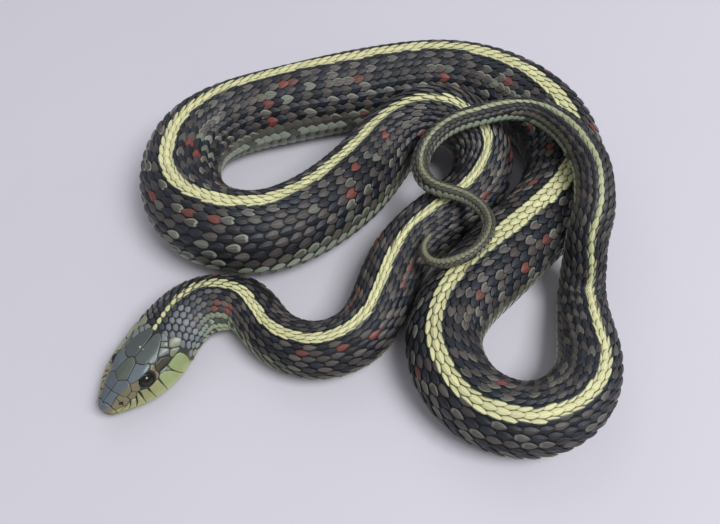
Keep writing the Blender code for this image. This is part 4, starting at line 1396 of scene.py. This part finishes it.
def make_skin():
    """One skin from snout to tail tip."""
    snake = snake_shape()
    head = np.r_[np.linspace(-HEAD_LENGTH - NOSE_ROUND, -HEAD_LENGTH, 10)[:-1],
                 -HEAD_LENGTH + HEAD_LENGTH * np.linspace(0.0, 1.0, 96) ** 1.12]
    body = np.arange(1.0, snake.length - 0.4, 1.0)
    stations = np.concatenate([head, body, [snake.length - 0.1]])
    turns = skin_turns()
    at, turn = np.meshgrid(stations, turns, indexing="ij")
    points = skin_points(snake, at.ravel(), turn.ravel())
    paint = skin_paint(snake, at.ravel(), turn.ravel())
    rows, columns = at.shape
    first = points[:columns].mean(0)
    last = snake.trunk.point(snake.length + 0.25, 0.0, -0.35)
    points = np.concatenate([points, [first, last]])
    paint = np.concatenate([paint, paint[:1], paint[-1:]])
    quads = grid_faces(rows, columns, closed=True)
    start = np.arange(columns)
    end = (rows - 1) * columns + np.arange(columns)
    tris = np.concatenate([fan(start, rows * columns),
                           fan(end, rows * columns + 1)[:, ::-1]])
    pile = Pile()
    pile.add(points[None], quads, tris, paint[None], np.zeros(3),
             np.zeros((1, 1, 2)))
    made = pile.build("skin", skin_material(), "back_scales", FLESH)
    strips = 9
    share = np.r_[(at.ravel() - stations[0]) / (stations[-1] - stations[0]), 0.0, 1.0]
    lap = (turn.ravel() % 360.0) / 360.0
    lap = np.r_[lap, 0.5, 0.5]
    chart_skin(made.data, share * strips, lap, strips)
    return made


def chart_skin(mesh, run, lap, strips):
    """Lay the skin's faces out in strips, so that no face crosses a seam."""
    corners = np.zeros(len(mesh.loops), np.int32)
    mesh.loops.foreach_get("vertex_index", corners)
    sizes_of = np.zeros(len(mesh.polygons), np.int32)
    mesh.polygons.foreach_get("loop_total", sizes_of)
    owner = np.repeat(np.arange(len(sizes_of)), sizes_of)
    u, v = run[corners], lap[corners].copy()
    first = np.full(len(sizes_of), 9e9)
    np.minimum.at(first, owner, u)
    high = np.zeros(len(sizes_of))
    np.maximum.at(high, owner, v)
    v = np.where((high[owner] > 0.75) & (v < 0.25), v + 1.0, v)
    strip = np.clip(np.floor(first[owner] + 1e-6), 0, strips - 1)
    places = np.stack([0.01 + 0.94 * (u - strip),
                       (strip + 0.04 + 0.88 * v) / (strips + 0.1)], -1)
    mesh.uv_layers["OFBake"].data.foreach_set("uv", places.astype(np.float32).ravel())


def make_scales():
    """Keeled scales of back, sides and tail, in pieces along the body."""
    snake = snake_shape()
    leaves = Leaves(snake, sizes().coat_depth / MM)
    generator = np.random.default_rng(SEED)
    coat = scale_material()
    low = -5.0
    for name, high, slot in COATS:
        pile = Pile()
        for row in range(0, ROWS + 1):
            for side in ((1, -1) if row else (1,)):
                at = snake.roots(row, low, high)
                at = at[(at >= low) & (at < high)]
                turn, half = snake.row_turn(at, row)
                turn = turn * side
                rolled = np.abs(turn + table_at(ROLL, at))
                kept = HEAD_LENGTH + at > table_at(NAPE_FROM, rolled)
                at, turn, half = at[kept], turn[kept], half[kept]
                if len(at) == 0:
                    continue
                luck = generator.random((len(at), 4))
                keel = ease(at, 2.0, 30.0) * (1.0 if row < 9 else 0.25)
                keel = keel * sizes().keel
                leaves.lay(pile, at, turn, half, row, side, luck, keel,
                           (low - 2.0, high + 2.0))
        pile.build(name, coat, slot, nodes_between(low, high))
        low = high


def nodes_between(low, high):
    """Names of the solids that a stretch of the body covers."""
    found, start = [], -HEAD_LENGTH
    for name, end in FLESH.items():
        if start < high and end > low:
            found.append(name)
        start = end
    return found


def belly_pattern(snake, pile, at, centre, half, side_gap, luck, chart):
    """Add broad plates under the body, each spanning from one side to the other."""
    along = np.array([0.0, 0.2, 0.45, 0.7, 0.88, 1.0])
    across = np.sin(np.linspace(-1.0, 1.0, 25) * np.pi / 2 * 0.96) / math.sin(
        np.pi / 2 * 0.96)
    x, y = (a.ravel() for a in np.meshgrid(along, across, indexing="ij"))
    coat = sizes().coat_depth / MM
    pitch = table_at(PITCH, at)
    size = scale_size(at)
    reach = (pitch * 1.35)[:, None]
    corner = 0.10 * ease(np.abs(y), 0.86, 1.0) * (x - 0.4)
    where = at[:, None] + reach * (x - 0.5 - corner)[None]
    turn = centre + (half * y)[None] + table_at(ROLL, where)
    edge = 0.25 * ease(np.abs(y), 0.93, 1.0) + 0.2 * ease(x, 0.9, 1.0)
    lift = coat * size[:, None] * (-1.1 + 1.12 * x ** 0.8 - edge)[None]
    top = snake.point(where, turn, lift)
    under = snake.point(at, np.full(at.shape, centre) + table_at(ROLL, at),
                        -coat * size * 2.0)
    points = np.concatenate([top, under[:, None]], 1)
    tint = palette()
    end = ease(np.abs(y), 0.70, 0.88)
    base = mixed(tint["belly"], tint["low_row"], end)
    base = np.broadcast_to(base, (len(at),) + base.shape)
    spot = end[None] * (1.0 - ease(x, 0.45, 0.75))[None] * (luck[:, :1] > 0.25)
    # front part of each plate, under the rear edge of the one before, darkened toward the
    # spot colour: painted shade
    shade_under_lap = (1.0 - ease(x, 0.3, 0.6))[None] * 0.35
    paint = mixed(base, tint["belly_spot"], np.clip(spot * 0.9 + shade_under_lap, 0.0, 0.95))
    paint = np.concatenate([paint, paint[:, :1]], 1)
    way = np.minimum((1.0 - np.abs(y)) * 4.0, (1.0 - x) * 2.4)
    leaf = np.zeros((len(at), len(x) + 1, 3))
    leaf[:, :-1, 0] = way
    leaf[..., 2] = luck[:, 1:2]
    low, high = chart
    step = 0.94 / (high - low)
    u = 0.02 + step * (at - low)[:, None] + step * pitch[:, None] * 0.8 * (x - 0.5)[None]
    v = np.broadcast_to(0.5 + side_gap * 0.22 + 0.21 * y, u.shape)
    places = np.stack([u, v], -1)
    middle = np.stack([0.02 + step * (at - low),
                       np.full(at.shape, 0.5 + side_gap * 0.22)], -1)
    places = np.concatenate([places, middle[:, None]], 1)
    quads = grid_faces(len(along), len(across))
    tris = fan(rim_of(len(along), len(across)), len(x))
    pile.add(points, quads, tris, paint, leaf, places)


def make_belly():
    """Belly plates, and the paired plates under the tail."""
    snake = snake_shape()
    generator = np.random.default_rng(SEED + 1)
    coat = plate_material("belly_plates", 0.40)
    parts = (("belly_front", BELLY_FROM_AT, 230.0), ("belly_rear", 230.0, VENT))
    for name, low, high in parts:
        at = snake.roots(0, low, high)
        pile = Pile()
        belly_pattern(snake, pile, at, 180.0, BELLY_HALF, 0.0,
                      generator.random((len(at), 2)), (low - 3.0, high + 3.0))
        pile.build(name, coat, "back_scales", nodes_between(low, high))
    pile = Pile()
    for side in (-1.0, 1.0):
        at = snake.roots(0, VENT, snake.length - 1.5)
        at = at + side * table_at(PITCH, at) / 4
        belly_pattern(snake, pile, at, 180.0 + side * BELLY_HALF / 2,
                      BELLY_HALF / 2 * 1.03, side, generator.random((len(at), 2)),
                      (VENT - 3.0, snake.length + 2.0))
    pile.build("belly_tail", coat, "tail_scales", nodes_between(VENT, snake.length))
    throat = Pile()
    leaves = Leaves(snake, sizes().coat_depth / MM)
    for number, (turn, start) in enumerate(THROAT_ROWS):
        for side in (1, -1):
            back = np.arange(start + 0.8 * (number % 2), THROAT_END, 1.6)
            at = back - HEAD_LENGTH
            luck = generator.random((len(at), 4)) * 0.5 + 0.3
            leaves.lay(throat, at, np.full(at.shape, turn * side) - table_at(ROLL, at),
                       np.full(at.shape, 5.6), 9, side, luck, np.zeros(len(at)),
                       (-HEAD_LENGTH, 2.0))
    throat.build("throat_scales", scale_material(), "head_plates", ["head"])


def rostral_reach(turn):
    """How far behind the snout the plate at its tip ends, by turn."""
    return float(np.interp(abs(turn), [0.0, 14.0, 40.0, 64.0, 88.0],
                           [0.90, 1.26, 1.24, 1.32, 1.28]))


def make_head_plates():
    """Crown, side, lip and chin plates."""
    snake = snake_shape()
    skull = snake.skull
    generator = np.random.default_rng(SEED + 2)
    plates = HeadPlates(skull, sizes().plate_rise / MM, sizes().plate_seam / MM,
                        sizes().head_coat / MM, generator)

    def toned(tone):
        return lambda back, turn: plate_paint(tone, back, turn)

    plates.add(FRONTAL, toned("crown"), swell=0.02)
    for side in (1, -1):
        for _name, tone, outline in PLATES:
            swell = 0.05 if tone.startswith(("lip", "temple")) else 0.03
            plates.add([(b, t * side) for b, t in outline], toned(tone), swell=swell)
        first, last = LOWER_LIP_TURNS
        for near, far in zip(LOWER_LIPS[:-1], LOWER_LIPS[1:]):
            outline = [(near, first), (near + 0.15, last), (far + 0.15, last),
                       (far, first)]
            plates.add([(b, t * side) for b, t in outline], head_paint, swell=0.03)
        for outline in CHIN_PLATES:
            plates.add([(b, t * side) for b, t in outline], head_paint, swell=0.05)
    around = np.linspace(0.0, 2 * np.pi, 9)[:-1]
    pale = chosen("pale") * 1.9
    for back, turn, radius in PALE_DOTS:
        outline = np.stack([back + radius * np.cos(around),
                            turn + radius * 6.6 * np.sin(around)], -1)
        plates.add(outline, pale, swell=0.02, rise=plates.rise + 0.035)
    plates.nose_plate(-87.5, 87.5, rostral_reach, head_paint, 0.4)
    plates.nose_plate(92.5, 267.5, lambda t: 1.15 + 0.5 * math.exp(-((t - 180) / 30) ** 2),
                      head_paint, 0.6)
    plates.pile.build("head_plates", plate_material("head_plates", 0.24),
                      "head_plates", ["head"])


def make_eyes():
    """Both eyes, each a wet ball with a soft dark rim round it."""
    snake = snake_shape()
    skull = snake.skull
    coat = eye_material()
    rim_coat = plate_material("eye_rims", 0.3)
    rims = Pile()
    for word, side in (("left", 1), ("right", -1)):
        centre, axis, across, upward = eye_axes(side)
        tilt = np.linspace(0.0, np.pi, 33)[1:-1]
        around = np.linspace(0.0, 2 * np.pi, 49)[:-1]
        t, a = np.meshgrid(tilt, around, indexing="ij")
        way = (axis * np.cos(t)[..., None]
               + across * (np.sin(t) * np.cos(a))[..., None]
               + upward * (np.sin(t) * np.sin(a))[..., None])
        cap = 1.0 + CORNEA_RISE * np.exp(-(t / CORNEA_SPAN) ** 2)[..., None]
        points = (centre + EYE_RADIUS * way * cap).reshape(-1, 3)
        front = centre + axis * EYE_RADIUS * (1.0 + CORNEA_RISE)
        rear = centre - axis * EYE_RADIUS
        points = np.concatenate([points, [front, rear]])
        rows, columns = t.shape
        quads = grid_faces(rows, columns, closed=True)
        tris = np.concatenate([
            fan(np.arange(columns), rows * columns),
            fan((rows - 1) * columns + np.arange(columns), rows * columns + 1)[:, ::-1]])
        leaf = np.zeros((len(points), 3))
        leaf[:-2, 0] = np.sin(np.minimum(t, np.pi / 2)).ravel()
        leaf[-1, 0] = 1.0
        leaf[:-2, 1] = np.cos(a * 2).ravel()
        flat = np.stack([np.cos(a), np.sin(a)], -1) * (t / np.pi * 0.48)[..., None] + 0.5
        chart = np.concatenate([flat.reshape(-1, 2), [[0.5, 0.5], [0.98, 0.98]]])
        pile = Pile()
        pile.add(skull.world(points)[None], quads, tris, np.full(3, 0.01), leaf[None],
                 chart[None])
        pile.build("eye_" + word + "_wet", coat, "eye", ["eye_" + word])
        loop = socket_edge(skull, side)
        add_rim(rims, skull, loop, centre, side)
    rims.build("eye_rims", rim_coat, "head_plates", ["head"])


def add_rim(pile, skull, loop, centre, side):
    """A soft ring of skin along the edge of one socket."""
    thick = sizes().rim_width / MM / 2
    out = unit(loop - centre)
    along = unit(np.roll(loop, -1, 0) - np.roll(loop, 1, 0))
    across = unit(np.cross(along, out))
    angles = np.linspace(0.0, 2 * np.pi, 11)[:-1]
    ring = (loop[:, None]
            + out[:, None] * (np.cos(angles)[None, :, None] * thick * 0.9)
            + across[:, None] * (np.sin(angles)[None, :, None] * thick * 1.5))
    rows, columns = ring.shape[:2]
    points = ring.reshape(-1, 3)
    i, k = np.meshgrid(np.arange(rows), np.arange(columns), indexing="ij")
    a = i * columns + k
    b = i * columns + (k + 1) % columns
    c = (i + 1) % rows * columns + (k + 1) % columns
    d = (i + 1) % rows * columns + k
    quads = np.stack([a.ravel(), b.ravel(), c.ravel(), d.ravel()], 1)
    leaf = np.zeros((len(points), 3))
    leaf[:, 0] = 0.12
    chart = np.stack([0.02 + 0.9 * i.ravel() / rows,
                      0.25 + side * 0.2 + 0.15 * k.ravel() / columns], -1)
    colour = chosen("rim")
    pile.add(skull.world(points)[None], quads, [], colour, leaf[None], chart[None])


# ---------------------------------------------------------------- camera and light
# Name, place, size and colour of each light
LIGHTS = (
    ("sky_light", (0.36, -0.24, 0.72), 0.42, (0.94, 0.97, 1.0)),
    ("fill_light", (-0.25, 0.70, 0.60), 0.7, (0.92, 0.96, 1.0)),
)
ROOM_COLOUR = (0.90, 0.93, 1.0, 1.0)
FLOOR_HALF = 3.0


def lit_by(name, place, aim, size, strength, colour):
    """A square soft light, aimed at a point."""
    lamp = bpy.data.lights.new(name, "AREA")
    lamp.size = size
    lamp.energy = strength
    lamp.color = colour
    made = bpy.data.objects.new(name, lamp)
    made.location = place
    way = Vector(aim) - Vector(place)
    made.rotation_euler = way.to_track_quat("-Z", "Y").to_euler()
    bpy.context.scene.collection.objects.link(made)
    return made


def make_stage():
    """Camera at the photograph's angle, plain floor and soft light."""
    stage = bpy.context.scene.snake_stage
    camera = bpy.data.cameras.new("camera")
    camera.lens = stage.lens
    camera.sensor_width = 36.0
    camera.clip_start = 0.005
    camera.clip_end = 50.0
    made = bpy.data.objects.new("camera", camera)
    made.location = stage.camera_place
    made.rotation_euler = (math.pi / 2 - stage.camera_down, 0.0, 0.0)
    bpy.context.scene.collection.objects.link(made)
    bpy.context.scene.camera = made
    mesh = bpy.data.meshes.new("floor")
    half = FLOOR_HALF
    mesh.from_pydata([(-half, -half, 0), (half, -half, 0), (half, half, 0),
                      (-half, half, 0)], [], [(0, 1, 2, 3)])
    mesh.materials.append(floor_material(stage.floor_colour[:3]))
    floor = bpy.data.objects.new("floor", mesh)
    bpy.context.scene.collection.objects.link(floor)
    for (name, place, size, colour), strength in zip(LIGHTS, (stage.key, stage.fill)):
        lit_by(name, place, (0.0, 0.0, 0.0), size, strength, colour)
    world = bpy.data.worlds.new("soft_room")
    world.use_nodes = True
    world.node_tree.nodes["Background"].inputs[0].default_value = ROOM_COLOUR
    world.node_tree.nodes["Background"].inputs[1].default_value = stage.room
    bpy.context.scene.world = world
    bpy.context.scene.view_settings.view_transform = "Standard"


# ---------------------------------------------------------------- what the user sets
def colour_choice(name, words, *value):
    """A colour that the user can change, from screen values."""
    return FloatVectorProperty(name=name, description=words, subtype="COLOR", size=3,
                               min=0.0, max=1.0, default=linear(*value))


class SnakeSizes(PropertyGroup):
    """Sizes of the finish."""

    coat_depth: FloatProperty(
        name="Coat depth", description="Thickness of the scales over the skin",
        unit="LENGTH", default=0.00042, min=0.0002, max=0.001, precision=5)
    head_coat: FloatProperty(
        name="Head coat", description="Depth of the skin under the head's plates",
        unit="LENGTH", default=0.00012, min=0.00005, max=0.0004, precision=5)
    keel: FloatProperty(
        name="Keel", description="Height of the keels, 1 as on the animal",
        default=1.0, min=0.0, max=2.0, subtype="FACTOR")
    plate_rise: FloatProperty(
        name="Plate rise", description="How far head plates stand over the solids",
        unit="LENGTH", default=0.00008, min=0.0, max=0.0003, precision=5)
    plate_seam: FloatProperty(
        name="Plate seam", description="Width taken off between head plates",
        unit="LENGTH", default=-0.00004, min=-0.0002, max=0.0004, precision=5)
    rim_width: FloatProperty(
        name="Eye rim", description="Width of the dark rim round each eye",
        unit="LENGTH", default=0.00024, min=0.0001, max=0.0006, precision=5)


class SnakeColours(PropertyGroup):
    """Colours of the markings."""

    stripe: colour_choice("Stripe", "Stripe along the back", 221, 217, 164)
    stripe_tail: colour_choice("Tail stripe", "Stripe on the tail", 166, 170, 134)
    black: colour_choice("Black", "Dark spots", 20, 21, 25)
    blue_black: colour_choice("Blue black", "Dark spots with a blue tone", 34, 38, 47)
    brown: colour_choice("Brown", "Ground colour of the sides", 62, 56, 55)
    light_brown: colour_choice("Light brown", "Paler ground colour", 97, 90, 84)
    brick: colour_choice("Brick red", "Scattered red scales", 126, 60, 50)
    pale: colour_choice("Pale", "Pale flecks and lowest row", 152, 160, 142)
    low_row: colour_choice("Lower rows", "Lower side stripe", 122, 120, 98)
    belly: colour_choice("Belly", "Belly plates", 150, 160, 146)
    belly_spot: colour_choice("Belly spots", "Dark marks on the plates", 34, 36, 36)
    tail: colour_choice("Tail", "Ground colour of the tail", 64, 59, 53)
    tail_end: colour_choice("Tail end", "Colour of the last of the tail", 98, 94, 76)
    throat: colour_choice("Throat", "Throat and chin", 168, 178, 144)
    nape: colour_choice("Nape", "Small scales behind the head", 124, 128, 131)
    between: colour_choice("Skin", "Skin between the scales", 22, 22, 23)
    crown: colour_choice("Crown", "Plate between the eyes", 96, 102, 92)
    # snout: its blue-grey is partly a painted sky reflection on the plates' tops, over a
    # more olive own colour
    crown_front: colour_choice("Snout", "Plates on top of the snout", 98, 106, 112)
    crown_rear: colour_choice("Crown, rear", "Plates behind the eyes", 86, 92, 90)
    # brow: its blue-grey is partly a painted sky reflection on the plates' tops
    brow: colour_choice("Brow", "Plates over the eyes", 104, 112, 116)
    cheek: colour_choice("Cheek", "Plates before the eye", 122, 114, 88)
    temple: colour_choice("Temple", "Plates behind the eye", 124, 128, 122)
    temple_rear: colour_choice("Temple, rear", "Rear plates", 134, 136, 114)
    dark_temple: colour_choice("Dark temple", "Dark plate", 72, 70, 54)
    lip: colour_choice("Lips", "Front of the lips", 153, 151, 106)
    lip_rear: colour_choice("Rear lips", "Rear upper lip", 147, 157, 108)
    lip_low: colour_choice("Lip edge", "Edge along the mouth", 182, 186, 130)
    suture: colour_choice("Seams", "Seams between head plates", 42, 43, 40)
    rim: colour_choice("Eye rim", "Rim round the eye", 24, 25, 25)


class SnakeStage(PropertyGroup):
    """Camera, floor and light."""

    lens: FloatProperty(name="Lens", description="Focal length in millimetres",
                        default=34.0, min=10.0, max=200.0)
    camera_down: FloatProperty(
        name="Camera tilt", description="How far the camera looks down",
        subtype="ANGLE", default=math.radians(56.0), min=0.0, max=math.pi / 2)
    camera_place: FloatVectorProperty(
        name="Camera place", description="Where the camera stands",
        subtype="TRANSLATION", unit="LENGTH", default=(-0.00323, -0.09763, 0.134))
    floor_colour: colour_choice("Floor", "Colour of the floor", 214, 209, 216)
    key: FloatProperty(name="Key light", description="Strength of the main light",
                       default=5.6, min=0.0, max=100.0)
    fill: FloatProperty(name="Fill light", description="Strength of the second light",
                        default=1.0, min=0.0, max=100.0)
    room: FloatProperty(name="Room light", description="Strength of the light all round",
                        default=0.36, min=0.0, max=10.0)


class SNAKE_OT_stage(Operator):
    """Camera, floor and light"""

    bl_idname = "snake.stage"
    bl_label = "Stage"
    bl_options = {"REGISTER", "UNDO"}

    def execute(self, context):
        make_stage()
        return {"FINISHED"}


class SNAKE_OT_skin(Operator):
    """One skin from snout to tail tip"""

    bl_idname = "snake.skin"
    bl_label = "Skin"
    bl_options = {"REGISTER", "UNDO"}

    def execute(self, context):
        make_skin()
        return {"FINISHED"}


class SNAKE_OT_scales(Operator):
    """Keeled scales of back, sides and tail"""

    bl_idname = "snake.scales"
    bl_label = "Scales"
    bl_options = {"REGISTER", "UNDO"}

    def execute(self, context):
        make_scales()
        return {"FINISHED"}


class SNAKE_OT_belly(Operator):
    """Belly, under-tail and throat plates"""

    bl_idname = "snake.belly"
    bl_label = "Belly"
    bl_options = {"REGISTER", "UNDO"}

    def execute(self, context):
        make_belly()
        return {"FINISHED"}


class SNAKE_OT_head(Operator):
    """Plates of the crown, sides, lips and chin"""

    bl_idname = "snake.head"
    bl_label = "Head plates"
    bl_options = {"REGISTER", "UNDO"}

    def execute(self, context):
        make_head_plates()
        return {"FINISHED"}


class SNAKE_OT_eyes(Operator):
    """Both eyes and their rims"""

    bl_idname = "snake.eyes"
    bl_label = "Eyes"
    bl_options = {"REGISTER", "UNDO"}

    def execute(self, context):
        make_eyes()
        return {"FINISHED"}


STEPS = (SNAKE_OT_stage, SNAKE_OT_skin, SNAKE_OT_scales, SNAKE_OT_belly, SNAKE_OT_head,
         SNAKE_OT_eyes)


class SNAKE_PT_panel(Panel):
    """Buttons for each step and the values they use"""

    bl_idname = "SNAKE_PT_panel"
    bl_label = "Garter snake"
    bl_space_type = "VIEW_3D"
    bl_region_type = "UI"
    bl_category = "Snake"

    def draw(self, context):
        for step in STEPS:
            self.layout.operator(step.bl_idname)
        for group in (context.scene.snake_sizes, context.scene.snake_colours,
                      context.scene.snake_stage):
            box = self.layout.box()
            for name in group.bl_rna.properties.keys():
                if name not in ("rna_type", "name"):
                    box.prop(group, name)


GROUPS = (("snake_sizes", SnakeSizes), ("snake_colours", SnakeColours),
          ("snake_stage", SnakeStage))


def register():
    for name, group in GROUPS:
        bpy.utils.register_class(group)
        setattr(bpy.types.Scene, name, PointerProperty(type=group))
    for kind in (*STEPS, SNAKE_PT_panel):
        bpy.utils.register_class(kind)


def unregister():
    for kind in reversed((*STEPS, SNAKE_PT_panel)):
        bpy.utils.unregister_class(kind)
    for name, group in reversed(GROUPS):
        delattr(bpy.types.Scene, name)
        bpy.utils.unregister_class(group)


def main():
    register()
    bpy.ops.snake.stage()
    bpy.ops.snake.skin()
    bpy.ops.snake.scales()
    bpy.ops.snake.belly()
    bpy.ops.snake.head()
    bpy.ops.snake.eyes()


if __name__ == "__main__":
    main()
